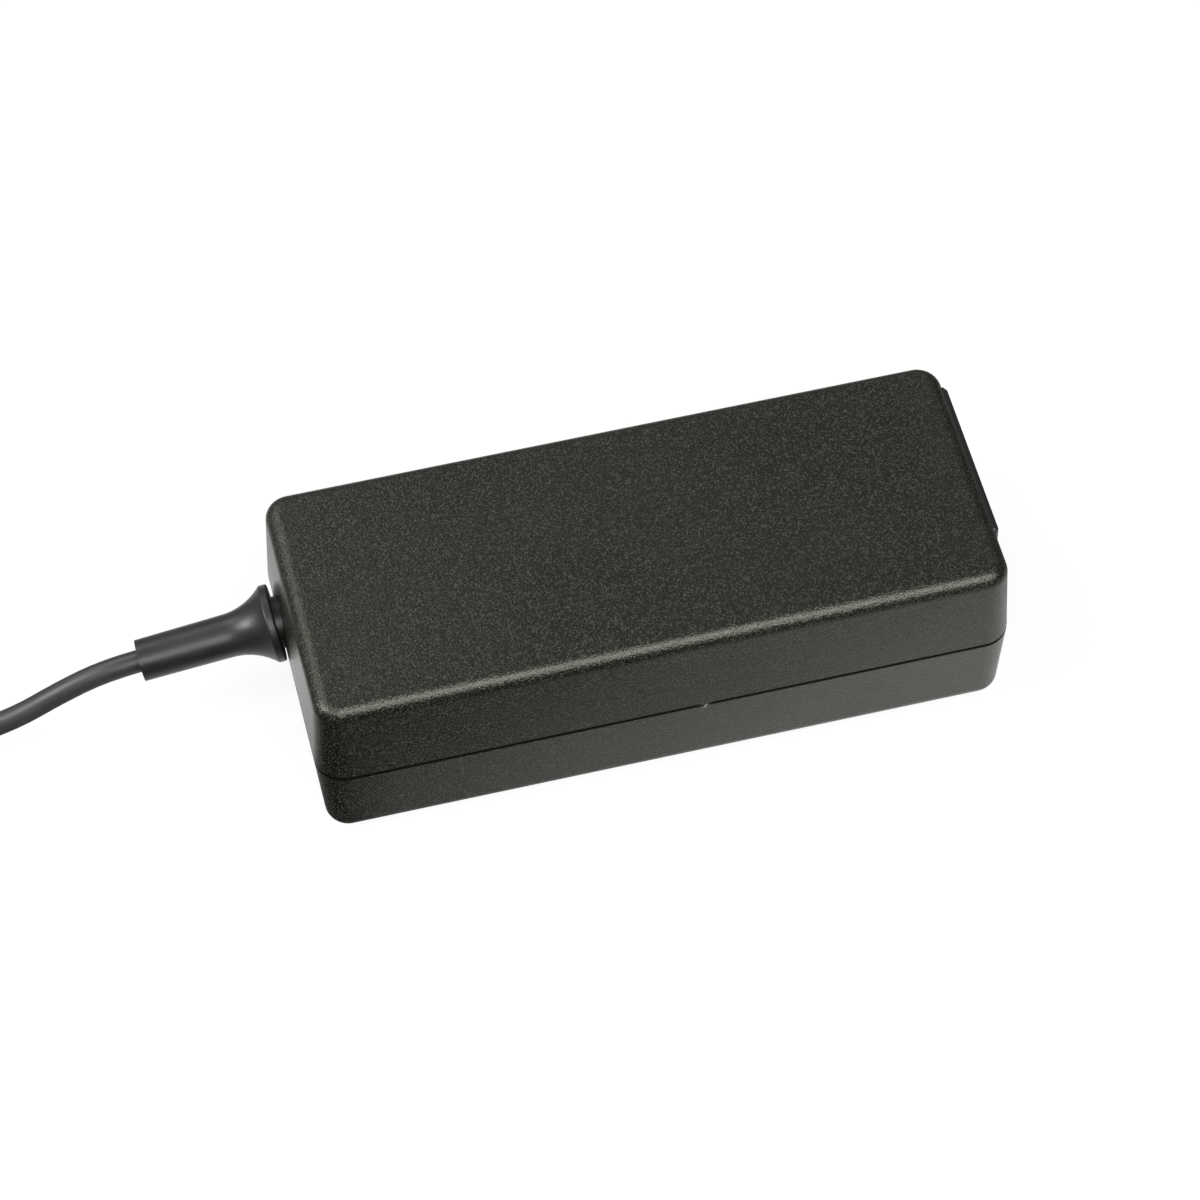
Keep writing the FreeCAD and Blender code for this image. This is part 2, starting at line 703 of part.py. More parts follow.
def make_strain_relief():
    """Moulded relief: flange and neck in the wall, then a collar, flare and tail that tilt down"""
    body = new_body("strain_relief", RELIEF_X, RELIEF_Y, "parting_height")
    inner = "%s + flange_thickness" % FLANGE_START
    neck_end = "-relief_gap - collar_thickness"
    in_wall = polygon(new_sketch(body, "XZ_Plane"), (
        (inner, "0"),
        (inner, "flange_radius"),
        (FLANGE_START, "flange_radius"),
        (FLANGE_START, "neck_radius"),
        (neck_end, "neck_radius"),
        (neck_end, "0"),
    ))
    revolve(body, in_wall, "H_Axis")
    outside = new_sketch(body, "XZ_Plane")
    outside.AttachmentOffset = Placement(Vector(), Rotation(Vector(0, 0, 1), 1))
    bind(outside, AttachmentOffset__Base__x="-relief_gap - collar_thickness / 2",
         AttachmentOffset__Rotation__Angle="relief_tilt")
    revolve(body, relief_outline(outside), "H_Axis")
    rim = number("collar_radius")
    dress(body, "Fillet", "collar_bevel", lambda edge: edge.BoundBox.XMin < 0 and round_edge(edge, rim))
    return body


# Board and the parts on it

def make_circuit_board():
    """Board with a hole at each corner for the lower shell's studs"""
    body = new_body("circuit_board", z=BOARD_BOTTOM)
    outline = rectangle(new_sketch(body, "XY_Plane"), BOARD_LEFT, "-" + BOARD_HALF, BOARD_RIGHT, BOARD_HALF)
    pad(body, outline, "board_thickness")
    holes = at_bosses(new_sketch(body, "XY_Plane"), "stud_radius + stud_clear")
    pocket(body, holes, "board_thickness", back=True)
    return body


def folded_cover(label, inset, top, thickness):
    """A sheet folded into a channel that stands on the board over its components"""
    body = new_body(label, ZONE_LEFT)
    out = "(%s - %s)" % (BOARD_HALF, inset)
    profile = polygon(new_sketch(body, "YZ_Plane"), (
        ("-" + out, BOARD_TOP),
        ("%s - %s" % (thickness, out), BOARD_TOP),
        ("%s - %s" % (thickness, out), "%s - %s" % (top, thickness)),
        ("%s - %s" % (out, thickness), "%s - %s" % (top, thickness)),
        ("%s - %s" % (out, thickness), BOARD_TOP),
        (out, BOARD_TOP),
        (out, top),
        ("-" + out, top),
    ))
    pad(body, profile, "%s - %s" % (ZONE_RIGHT, ZONE_LEFT))
    return body


def make_covers():
    """Heat spreader, the film inside it and the film under the board"""
    top = "(%s - spreader_gap)" % CEILING
    folded_cover("heat_spreader", "0", top, "spreader_thickness")
    folded_cover("insulation_film", "spreader_thickness", "(%s - spreader_thickness)" % top, "film_thickness")
    middle = "(%s + %s) / 2" % (ZONE_LEFT, ZONE_RIGHT)
    block("floor_film", middle, "0", FLOOR, "%s - %s" % (ZONE_RIGHT, ZONE_LEFT),
          "2 * (%s - film_side_room)" % BOARD_HALF, "film_thickness")


def make_line_choke(x, y):
    """Square ferrite frame with a winding on each upright leg"""
    core = new_body("line_choke_core", x, y, BOARD_TOP)
    half = "choke_core_width / 2"
    frame = new_sketch(core, "YZ_Plane")
    rectangle(frame, "-" + half, "0", half, "choke_core_height")
    rectangle(frame, "choke_leg - " + half, "choke_leg", half + " - choke_leg", "choke_core_height - choke_leg")
    pad(core, frame, "choke_core_depth", both=True)
    for label, side in (("line_choke_winding_front", "-"), ("line_choke_winding_back", "")):
        place = "(%s) %s (choke_core_width - choke_leg) / 2" % (y, side or "+")
        winding = new_body(label, x, place, "%s + choke_leg" % BOARD_TOP)
        ring = new_sketch(winding, "XY_Plane")
        rectangle(ring, "-choke_core_depth / 2 - choke_wind", "-choke_leg / 2 - choke_wind",
                  "choke_core_depth / 2 + choke_wind", "choke_leg / 2 + choke_wind")
        rectangle(ring, "-choke_core_depth / 2", "-choke_leg / 2", "choke_core_depth / 2", "choke_leg / 2")
        pad(winding, ring, "choke_core_height - 2 * choke_leg - winding_clear")
        edge = number("choke_core_depth / 2 + choke_wind")
        dress(winding, "Fillet", "choke_wind * 0.8",
              lambda line: upright(line) and abs(abs(line.BoundBox.Center.x) - edge) < 0.01)


def can_profile(sketch, radius, length):
    """Half section of an aluminium can with the crimp near its open end"""
    return polygon(sketch, (
        ("0", "0"),
        (radius, "0"),
        (radius, "crimp_place - crimp_depth"),
        ("%s - crimp_depth" % radius, "crimp_place"),
        (radius, "crimp_place + crimp_depth"),
        (radius, length),
        ("0", length),
    ))


def make_bulk_capacitor(x, y):
    """Large electrolytic can lying across the board"""
    body = new_body("bulk_capacitor", x, "(%s) + %s / 2" % (y, BULK_CAP_LENGTH),
                    "%s + seat_gap + %s" % (BOARD_TOP, BULK_CAP_RADIUS))
    sketch = new_sketch(body, "XY_Plane")
    polygon(sketch, (
        ("0", "0"),
        ("0", "-" + BULK_CAP_LENGTH),
        (BULK_CAP_RADIUS, "-" + BULK_CAP_LENGTH),
        (BULK_CAP_RADIUS, "-crimp_place - crimp_depth"),
        (BULK_CAP_RADIUS + " - crimp_depth", "-crimp_place"),
        (BULK_CAP_RADIUS, "crimp_depth - crimp_place"),
        (BULK_CAP_RADIUS, "0"),
    ))
    revolve(body, sketch, "V_Axis")
    return body


def make_switch_group(x, y):
    """Folded heat sink with the switching transistor screwed to its upright"""
    back = "((%s) + %s / 2)" % (y, SWITCH_GROUP_DEPTH)
    sink = new_body("primary_heat_sink", x, back, BOARD_TOP)
    profile = polygon(new_sketch(sink, "YZ_Plane"), (
        ("-sink_thickness", "0"),
        ("0", "0"),
        ("0", SINK_FOLD_LOW + " + sink_thickness"),
        ("-sink_fold", SINK_FOLD_LOW + " + sink_thickness"),
        ("-sink_fold", SINK_FOLD_LOW),
        ("-sink_thickness", SINK_FOLD_LOW),
    ))
    pad(sink, profile, "sink_length", both=True)
    pocket(sink, circle(new_sketch(sink, "XZ_Plane"), "0", SWITCH_HOLE_Z, "screw_radius + screw_clear"),
           "2 * sink_thickness + 1", both=True)
    face = "(%s - sink_thickness)" % back
    switch = new_body("switch_transistor", x, face, BOARD_TOP)
    half = "switch_width / 2"
    tab = new_sketch(switch, "XZ_Plane")
    rectangle(tab, "-" + half, SWITCH_LEG_RISE, half, SWITCH_TOP)
    circle(tab, "0", SWITCH_HOLE_Z, "screw_radius + screw_clear")
    pad(switch, tab, "switch_tab")
    case = new_sketch(switch, "XZ_Plane")
    rectangle(case, "-" + half, SWITCH_LEG_RISE, half, SWITCH_CASE_TOP)
    pad(switch, case, "switch_depth")
    legs = new_sketch(switch, "XZ_Plane", "switch_depth / 2")
    for place in ("-leg_pitch", "0", "leg_pitch"):
        rectangle(legs, "%s - leg_width / 2" % place, "0", "%s + leg_width / 2" % place,
                  SWITCH_LEG_RISE + " + leg_width")
    pad(switch, legs, "leg_thickness", both=True)
    screw = new_body("transistor_screw", x, "%s - switch_tab" % face, "%s + %s" % (BOARD_TOP, SWITCH_HOLE_Z))
    turned = polygon(new_sketch(screw, "XY_Plane"), (
        ("0", "-screw_head_height"),
        ("screw_head_radius", "-screw_head_height"),
        ("screw_head_radius", "0"),
        ("screw_radius", "0"),
        ("screw_radius", "switch_tab + sink_thickness"),
        ("0", "switch_tab + sink_thickness"),
    ))
    revolve(screw, turned, "V_Axis")


def make_transformer(x, y):
    """Two ferrite halves closed round a bobbin, with the windings between its flanges"""
    side = "core_width / 2"
    post = "core_post / 2"
    yoke = "core_yoke"
    inner = side + " - core_leg"
    for label, height, turn in (
        ("transformer_core_lower", BOARD_TOP, ""),
        ("transformer_core_upper", "%s + 2 * %s" % (BOARD_TOP, CORE_HALF_HEIGHT), "-"),
    ):
        body = new_body(label, x, y, height)
        rise = turn + CORE_HALF_HEIGHT
        root = turn + yoke
        profile = polygon(new_sketch(body, "YZ_Plane"), (
            ("-(%s)" % side, "0"),
            (side, "0"),
            (side, rise),
            (inner, rise),
            (inner, root),
            (post, root),
            (post, rise),
            ("-" + post, rise),
            ("-" + post, root),
            ("-(%s)" % inner, root),
            ("-(%s)" % inner, rise),
            ("-(%s)" % side, rise),
        ))
        pad(body, profile, "core_depth", both=True)
    seat = "(%s + core_yoke)" % BOARD_TOP
    inside = "(2 * (%s - core_yoke))" % CORE_HALF_HEIGHT
    flange_y = "(%s - bobbin_clear)" % inner
    flange_x = "bobbin_length / 2"
    hole_y = "(%s + bobbin_clear / 2)" % post
    hole_x = "(core_depth / 2 + bobbin_clear / 2)"
    bobbin = new_body("transformer_bobbin", x, y, seat)
    flange = new_sketch(bobbin, "XY_Plane")
    rectangle(flange, "-" + flange_x, "-" + flange_y, flange_x, flange_y)
    rectangle(flange, "-" + hole_x, "-" + hole_y, hole_x, hole_y)
    pad(bobbin, flange, "bobbin_wall")
    tube = new_sketch(bobbin, "XY_Plane")
    rectangle(tube, "-%s - bobbin_wall" % hole_x, "-%s - bobbin_wall" % hole_y,
              "%s + bobbin_wall" % hole_x, "%s + bobbin_wall" % hole_y)
    rectangle(tube, "-" + hole_x, "-" + hole_y, hole_x, hole_y)
    pad(bobbin, tube, "%s - winding_clear" % inside)
    lid = new_sketch(bobbin, "XY_Plane", "%s - winding_clear" % inside)
    rectangle(lid, "-" + flange_x, "-" + flange_y, flange_x, flange_y)
    rectangle(lid, "-" + hole_x, "-" + hole_y, hole_x, hole_y)
    pad(bobbin, lid, "bobbin_wall", back=True)
    rails = new_sketch(bobbin, "XY_Plane")
    for low, high in (("-" + flange_x, "bobbin_rail - " + flange_x), (flange_x + " - bobbin_rail", flange_x)):
        rectangle(rails, low, "-" + flange_y, high, flange_y)
    pad(bobbin, rails, yoke, back=True)
    winding = new_body("transformer_winding", x, y, "%s + bobbin_wall" % seat)
    ring = new_sketch(winding, "XY_Plane")
    out_x = "%s - winding_inset" % flange_x
    out_y = "%s - winding_inset" % flange_y
    rectangle(ring, "-(%s)" % out_x, "-(%s)" % out_y, out_x, out_y)
    rectangle(ring, "-%s - bobbin_wall" % hole_x, "-%s - bobbin_wall" % hole_y,
              "%s + bobbin_wall" % hole_x, "%s + bobbin_wall" % hole_y)
    pad(winding, ring, "%s - winding_clear - 2 * bobbin_wall" % inside)
    edge = number(out_x)
    dress(winding, "Fillet", "core_leg * 0.7",
          lambda line: upright(line) and abs(abs(line.BoundBox.Center.x) - edge) < 0.01)


def make_output_choke(x, y):
    """Ferrite spool with one winding between its rims"""
    core = new_body("output_choke_core", x, y, BOARD_TOP)
    low, high = "output_choke_rim", "output_choke_height - output_choke_rim"
    profile = polygon(new_sketch(core, "XZ_Plane"), (
        ("0", "0"),
        ("output_choke_radius", "0"),
        ("output_choke_radius", low),
        ("output_choke_neck", low),
        ("output_choke_neck", high),
        ("output_choke_radius", high),
        ("output_choke_radius", "output_choke_height"),
        ("0", "output_choke_height"),
    ))
    revolve(core, profile, "V_Axis")
    winding = new_body("output_choke_winding", x, y, "%s + output_choke_rim" % BOARD_TOP)
    ring = new_sketch(winding, "XY_Plane")
    circle(ring, "0", "0", "output_choke_radius - winding_clear")
    circle(ring, "0", "0", "output_choke_neck + winding_clear / 4")
    pad(winding, ring, "output_choke_height - 2 * output_choke_rim - winding_clear / 2")


def make_components():
    """Rows of components between the inlet and the lead, with equal gaps"""
    columns = (
        "2 * " + OUTPUT_CAP_RADIUS,
        "bobbin_length",
        "max(2 * %s; sink_length)" % BULK_CAP_RADIUS,
        "max(fuse_length; filter_cap_depth; %s)" % CHOKE_DEPTH,
    )
    output_x, transformer_x, storage_x, filter_x = spread(ZONE_LEFT, ZONE_RIGHT, columns)
    side = ("-" + ZONE_HALF, ZONE_HALF)
    fuse_y, choke_y, filter_cap_y = spread(*side, ("fuse_width", CHOKE_WIDTH, FILTER_CAP_WIDTH))
    block("mains_fuse", filter_x, fuse_y, BOARD_TOP, "fuse_length", "fuse_width", "fuse_height",
          "fuse_width / 6")
    make_line_choke(filter_x, choke_y)
    block("filter_capacitor", filter_x, filter_cap_y, BOARD_TOP, "filter_cap_depth", FILTER_CAP_WIDTH,
          "filter_cap_height", "filter_cap_depth / 8")
    bulk_y, switch_y = spread(*side, (BULK_CAP_LENGTH, SWITCH_GROUP_DEPTH))
    make_bulk_capacitor(storage_x, bulk_y)
    make_switch_group(storage_x, switch_y)
    make_transformer(transformer_x, "0")
    can_width = "2 * " + OUTPUT_CAP_RADIUS
    rows = (can_width, can_width, "2 * output_choke_radius", "safety_cap_thickness")
    front_y, back_y, choke_y, disc_y = spread(*side, rows)
    for label, y in (("output_capacitor_front", front_y), ("output_capacitor_back", back_y)):
        can = new_body(label, output_x, y, BOARD_TOP)
        revolve(can, can_profile(new_sketch(can, "XZ_Plane"), OUTPUT_CAP_RADIUS, "output_cap_height"), "V_Axis")
    make_output_choke(output_x, choke_y)
    disc = new_body("safety_capacitor", output_x, disc_y, "%s + seat_gap + safety_cap_radius" % BOARD_TOP)
    pad(disc, circle(new_sketch(disc, "XZ_Plane"), "0", "0", "safety_cap_radius"),
        "safety_cap_thickness", both=True)
    under = ("rectifier", "coupler", "controller", "bridge")
    labels = ("output_rectifier", "optocoupler", "controller_chip", "bridge_rectifier")
    places = spread(ZONE_LEFT, ZONE_RIGHT, [name + "_length" for name in under])
    for label, name, x in zip(labels, under, places):
        block(label, x, "0", BOARD_BOTTOM, name + "_length", name + "_width", name + "_height", down=True)


# Lead, coil and plug

def tube(route, diameter, radii=None):
    """A round tube along straight runs joined by tangent arcs"""
    points = [Vector(*point) for point in route]
    edges = []
    start = points[0]
    for index in range(1, len(points) - 1):
        before, corner, after = points[index - 1:index + 2]
        inward = (before - corner).normalize()
        outward = (after - corner).normalize()
        half_turn = (math.pi - inward.getAngle(outward)) / 2
        shorter = min((corner - before).Length, (after - corner).Length)
        if radii is None:
            reach = 0.45 * shorter
        else:
            reach = radii * math.tan(half_turn)
        radius = reach / math.tan(half_turn)
        first = corner + inward * reach
        last = corner + outward * reach
        middle = (inward + outward).normalize()
        centre = corner + middle * (radius / math.cos(half_turn))
        edges.append(Part.LineSegment(start, first).toShape())
        edges.append(Part.Arc(first, centre - middle * radius, last).toShape())
        start = last
        print("  bend at %s: radius %.1f, %.1f diameters" % (route[index], radius, radius / diameter))
    edges.append(Part.LineSegment(start, points[-1]).toShape())
    spine = Part.Wire(edges)
    ring = Part.Wire(Part.makeCircle(diameter / 2, points[0], (points[1] - points[0]).normalize()))
    solid = spine.makePipeShell([ring], True, False)
    expected = math.pi * (diameter / 2) ** 2 * spine.Length
    print("  tube volume %.1f, section times length %.1f, length %.1f"
          % (solid.Volume, expected, spine.Length))
    if abs(solid.Volume - expected) > 0.01 * expected:
        raise RuntimeError("a tube's volume is wrong")
    return solid


def make_core_wires():
    """The lead's two insulated conductors from the strain relief down to the board"""
    start_x = number("%s + %s + flange_thickness" % (RELIEF_X, FLANGE_START))
    end_x = number("%s + core_wire_reach" % BOARD_LEFT)
    top = number("parting_height")
    low = number(BOARD_TOP)
    for label, side in (("output_wire_positive", -1), ("output_wire_return", 1)):
        y = number(RELIEF_Y) + side * number("core_wire_spread")
        route = ((start_x, y, top), (end_x, y, top), (end_x, y, low))
        keep_shape(label, tube(route, number("core_wire_diameter"), number("core_wire_bend")))


def make_coil():
    """Outer shape of the wound lead: four columns of turns below and three above"""
    body = new_body("cord_coil", "coil_x", "coil_y", "coil_lift")
    profile = polygon(new_sketch(body, "XZ_Plane"), (
        (COIL_LOWER_INNER, "0"),
        (COIL_OUTER, "0"),
        (COIL_OUTER, COIL_HEIGHT),
        (COIL_UPPER_INNER, COIL_HEIGHT),
        (COIL_LOWER_INNER, "%s / 2" % COIL_HEIGHT),
    ))
    revolve(body, profile, "V_Axis")
    dress(body, "Fillet", "cord_diameter / 2",
          lambda edge: level(edge, 0) or level(edge, number(COIL_HEIGHT)))
    return body


def make_cord_tie():
    """A strap closed round the coil's turns on its front side"""
    body = new_body("cord_tie", "coil_x", "coil_y", "0")
    strap = "(coil_lift - tie_clear)"
    near = "(sqrt(%s ^ 2 - (tie_width / 2) ^ 2) - tie_clear)" % COIL_LOWER_INNER
    far = "(%s + tie_clear)" % COIL_OUTER
    top = "(coil_lift + %s + tie_clear)" % COIL_HEIGHT
    loop = new_sketch(body, "YZ_Plane")
    rectangle(loop, "-%s - %s" % (far, strap), "0", "%s - %s" % (strap, near), "%s + %s" % (top, strap))
    rectangle(loop, "-" + far, strap, "-" + near, top)
    pad(body, loop, "tie_width", both=True)
    return body


def make_plug():
    """Barrel plug: moulded grip with a boot on the lead, metal barrel, insulator and contact"""
    place = ("plug_x", "plug_y", "plug_grip_radius", 180)
    grip = new_body("plug_grip", *place)
    profile = polygon(new_sketch(grip, "XZ_Plane"), (
        ("0", "0"),
        ("0", "plug_boot_tip"),
        ("plug_boot_length", "plug_boot_root"),
        ("plug_boot_length", "plug_grip_radius"),
        (PLUG_FACE, "plug_grip_radius"),
        (PLUG_FACE, "0"),
    ))
    revolve(grip, profile, "H_Axis")
    ends = (number("plug_boot_length"), number(PLUG_FACE))
    rim = number("plug_grip_radius") * 1.9
    dress(grip, "Fillet", "plug_edge",
          lambda edge: edge.BoundBox.YLength > rim and any(across(edge, end) for end in ends))
    pitch = "(plug_boot_length / (plug_ring_count + 1))"
    # Ring grooves round the boot, all cut to one radius
    for index in range(int(number("plug_ring_count"))):
        middle = "(%d * %s)" % (index + 1, pitch)
        low, high = "%s - plug_ring_width / 2" % middle, "%s + plug_ring_width / 2" % middle
        groove = rectangle(new_sketch(grip, "XZ_Plane"), low, "plug_boot_tip - plug_ring_depth",
                           high, "plug_boot_root + 1")
        before = grip.Shape.Volume
        cut = grip.newObject("PartDesign::Groove", "boot_ring_%d" % index)
        cut.Profile = groove
        cut.ReferenceAxis = (groove, ["H_Axis"])
        cut.Angle = 360
        settle(cut)
        if not grip.Shape.Volume < before:
            raise RuntimeError("a boot ring cut nothing")
    flute = new_sketch(grip, "YZ_Plane", "plug_boot_length + 2 * plug_edge")
    circle(flute, "0", "plug_grip_radius", "plug_flute_radius")
    one = pocket(grip, flute, "plug_grip_length - 4 * plug_edge", back=True)
    around = grip.newObject("PartDesign::PolarPattern", "grip_flutes")
    around.Originals = [one]
    around.Axis = ([f for f in grip.Origin.OriginFeatures if f.Role == "X_Axis"][0], [""])
    around.Angle = 360
    bind(around, Occurrences="plug_flute_count")
    grip.Tip = around
    settle(around)
    mouth = new_sketch(grip, "YZ_Plane", PLUG_FACE)
    circle(mouth, "0", "0", "barrel_radius + barrel_collar")
    pocket(grip, mouth, "barrel_root_length")
    tip = "(%s + barrel_length)" % PLUG_FACE
    root = "(%s - barrel_root_length)" % PLUG_FACE
    barrel_in = "(barrel_radius - barrel_wall)"
    contact_out = "(contact_bore + contact_wall)"
    contact_tip = "(%s - contact_setback)" % tip
    turned = (
        ("plug_barrel", (
            (root, barrel_in),
            (root, "barrel_radius + barrel_collar"),
            (PLUG_FACE, "barrel_radius + barrel_collar"),
            (PLUG_FACE, "barrel_radius"),
            (tip, "barrel_radius"),
            (tip, barrel_in),
        )),
        ("plug_insulator", (
            (root, contact_out),
            (root, barrel_in),
            (contact_tip, barrel_in),
            (contact_tip, contact_out),
        )),
        ("plug_contact", (
            (root, "0"),
            (root, contact_out),
            (contact_tip, contact_out),
            (contact_tip, "contact_bore"),
            ("%s - contact_bore_depth" % contact_tip, "contact_bore"),
            ("%s - contact_bore_depth" % contact_tip, "0"),
        )),
    )
    for label, corners in turned:
        body = new_body(label, *place)
        revolve(body, polygon(new_sketch(body, "XZ_Plane"), corners), "H_Axis")


make_lower_shell()
make_upper_shell()
make_inlet_housing()
for pin_label, (pin_y, pin_z) in PIN_PLACES.items():
    make_pin(pin_label, pin_y, pin_z)
make_strain_relief()
make_circuit_board()
make_covers()
make_components()
print("conductors")
make_core_wires()
print("lead")
keep_shape("cord_lead", tube(LEAD_ROUTE, number("cord_diameter")))
make_coil()
make_cord_tie()
print("tail")
keep_shape("cord_tail", tube(TAIL_ROUTE, number("cord_diameter")))
make_plug()
doc.recompute()

for thing in doc.Objects:
    if "Invalid" in thing.State or "Error" in thing.State:
        raise RuntimeError(thing.Label + " is in error")
for piece in pieces:
    if piece.Shape.isNull() or not piece.Shape.isValid() or len(piece.Shape.Solids) != 1:
        raise RuntimeError(piece.Label + " isn't one valid solid")

os.makedirs("parts", exist_ok=True)
for piece in pieces:
    piece.Shape.exportStep("parts/%s.step" % piece.Label)
print("%d pieces written" % len(pieces))
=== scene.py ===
"""Looks, lead and studio stage of a mains power adapter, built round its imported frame."""
import math

import bmesh
import bpy
from bpy.props import FloatProperty, FloatVectorProperty, IntProperty, PointerProperty
from mathutils import Matrix, Vector


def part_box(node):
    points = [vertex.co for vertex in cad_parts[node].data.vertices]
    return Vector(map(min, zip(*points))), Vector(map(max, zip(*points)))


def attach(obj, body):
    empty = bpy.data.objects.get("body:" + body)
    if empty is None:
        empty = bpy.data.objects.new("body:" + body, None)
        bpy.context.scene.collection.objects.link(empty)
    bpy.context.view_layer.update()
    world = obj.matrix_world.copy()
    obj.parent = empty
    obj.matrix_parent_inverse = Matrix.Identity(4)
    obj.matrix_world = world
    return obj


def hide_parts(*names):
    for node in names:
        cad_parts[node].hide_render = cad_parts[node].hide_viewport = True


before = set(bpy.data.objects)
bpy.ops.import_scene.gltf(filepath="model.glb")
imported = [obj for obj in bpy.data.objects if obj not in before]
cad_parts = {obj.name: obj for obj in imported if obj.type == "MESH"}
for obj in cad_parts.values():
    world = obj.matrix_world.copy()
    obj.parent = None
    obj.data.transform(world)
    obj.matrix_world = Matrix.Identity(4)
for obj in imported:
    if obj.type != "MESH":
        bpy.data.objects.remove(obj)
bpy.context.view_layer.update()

bl_info = {
    "name": "Mains power adapter",
    "version": (1, 0, 0),
    "blender": (4, 5, 0),
    "location": "3D View > Sidebar > Adapter",
    "description": "Finishes, lead and studio stage for a moulded mains power adapter",
    "category": "Object",
}

MM = 0.001
WHITE = (1.0, 1.0, 1.0, 1.0)

# Groups of like pieces, by the names of the frame's nodes
PINS = ("line_pin", "neutral_pin", "earth_pin")
CANS = ("bulk_capacitor", "output_capacitor_front", "output_capacitor_back")
FERRITES = (
    "line_choke_core", "output_choke_core", "transformer_core_lower", "transformer_core_upper")
COPPER_WINDINGS = (
    "line_choke_winding_front", "line_choke_winding_back", "output_choke_winding")
EPOXY_PARTS = (
    "switch_transistor", "output_rectifier", "optocoupler", "controller_chip", "bridge_rectifier")
PLUG_METAL = ("plug_barrel", "plug_contact")

# The case shells, with the painted light on each one's plastic: the lower shell's colour is painted
# lighter, standing in for the brighter light it catches
SHELL_PAINTED_LIGHT = {"upper_shell": 1.0, "lower_shell": 1.12}
# The height at which they meet, in the gap between them
JOINT_HEIGHT = 15.0 * MM
# Distances from that height between which its painted dark line of shade and the rounding below it
# fade out
JOINT_PAINTED_SHADE = (0.35 * MM, 0.50 * MM)
JOINT_ROUNDING = (0.20 * MM, 0.48 * MM)
ROUNDING_DEPTH = 0.13 * MM
# Width of the rubbed band along each of the case's edges
RUBBED_BAND = 2.2 * MM
# A small pale scuff on the front face beside the joint: place, and where it fades out
SCUFF_PLACE = (0.0053, -0.0217, 0.0148)
SCUFF_REACH = (0.2 * MM, 0.9 * MM)
SCUFF_COLOUR = (0.35, 0.35, 0.34, 1.0)
# Tint of the case's gloss
GLOSS_TINT = (1.0, 1.0, 0.88, 1.0)

# The lead's route, in metres: from the strain relief to the coil, and from the coil to the plug
LEAD_ROUTE = (
    (-0.074587, 0.0086, 0.012406),
    (-0.080044, 0.0086, 0.011717),
    (-0.08744, 0.0084, 0.00866),
    (-0.09454, 0.0081, 0.00497),
    (-0.1039, 0.0081, 0.00265),
    (-0.1156, 0.0089, 0.0021),
    (-0.1270, 0.0091, 0.00255),
    (-0.1370, 0.0090, 0.00255),
)
TAIL_ROUTE = (
    (-0.1143, -0.0147, 0.01305),
    (-0.1143, -0.0055, 0.0123),
    (-0.1143, 0.0037, 0.0100),
    (-0.1195, 0.0128, 0.0072),
    (-0.1286, 0.0180, 0.0050),
    (-0.1395, 0.0180, 0.0050),
)
# Turns side by side in one layer of the coil
COIL_COLUMNS = 4
# How far a turn swings sideways where it climbs to the next layer
CLIMB_SWING = 1.0 * MM

# Shares of the strap's thickness: its wall, which stays just inside the solid's box, and how far
# its edges are softened
STRAP_WALL = 0.96
STRAP_SOFT_EDGE = 0.3
# How far the strap's inner side slopes back over the upper turns, in diameters of the lead
STRAP_SLOPE = 1.1

# Lamps: name, place, the point that it faces, width and height, and the setting for its power
LAMPS = (
    ("front_softbox", (0.08, -0.38, 0.50), (0.0, 0.0, 0.02), (0.60, 0.34), "softbox"),
    ("side_softbox", (-0.50, 0.01, 0.40), (-0.06, 0.0, 0.02), (0.20, 0.20), "side_light"),
    ("back_softbox", (-0.26, 0.31, 0.42), (-0.05, 0.0, 0.02), (0.24, 0.18), "back_light"),
)
# The room's brightest direction, and how near to it the light starts and is full
ROOM_DIRECTION = (-0.35, 0.55, 0.76)
ROOM_SLOPE = (0.1, 0.95)

FLOOR_HALF_WIDTH = 1.5
# The floor lies just clear of the object's flat base, which stands on it
FLOOR_DROP = 0.02 * MM
# How much of the floor that the camera sees is plain white, over the lit paper with its shadow
FLOOR_WHITENESS = 0.88
# Gloss sees a floor that goes from dark to bright along this direction, between these distances
FLOOR_DIRECTION = (0.6, 0.8, 0.0)
FLOOR_SLOPE = (-0.070, 0.005)
# It sees a pool of light at the foot of the lead's end: middle, and where it fades out
FLOOR_POOL = ((-0.056, 0.010, 0.0), (0.004, 0.032))
# It sees shades at that end's front corner, beside the inlet and far from the object: middle,
# where the shade's edge starts and ends, and the levels inside and outside it
FLOOR_SHADES = (
    ((-0.061, -0.025, 0.0), (0.008, 0.020), (0.1, 1.0)),
    ((0.075, 0.025, 0.0), (0.022, 0.040), (0.1, 1.0)),
    ((0.0, 0.0, 0.0), (0.085, 0.15), (1.0, 0.05)),
)
# The camera's sensor, in millimetres
SENSOR_WIDTH = 36.0


# Settings that a user would change

class CaseSettings(bpy.types.PropertyGroup):
    charcoal: FloatVectorProperty(
        name="Case colour", description="Colour of the moulded case",
        subtype="COLOR", min=0.0, max=1.0, default=(0.0105, 0.0108, 0.0080))
    roughness: FloatProperty(
        name="Roughness", description="Roughness between the grains",
        subtype="FACTOR", min=0.0, max=1.0, default=0.33)
    grain_size: FloatProperty(
        name="Grain size", description="Width of one grain of the spark-eroded surface",
        unit="LENGTH", min=0.00001, default=0.00027)
    grain_depth: FloatProperty(
        name="Grain depth", description="Height of the grain",
        unit="LENGTH", min=0.0, default=0.00006)
    rubbed: FloatProperty(
        name="Rubbed edges", description="How far the edges are polished by handling",
        subtype="FACTOR", min=0.0, max=1.0, default=0.35)


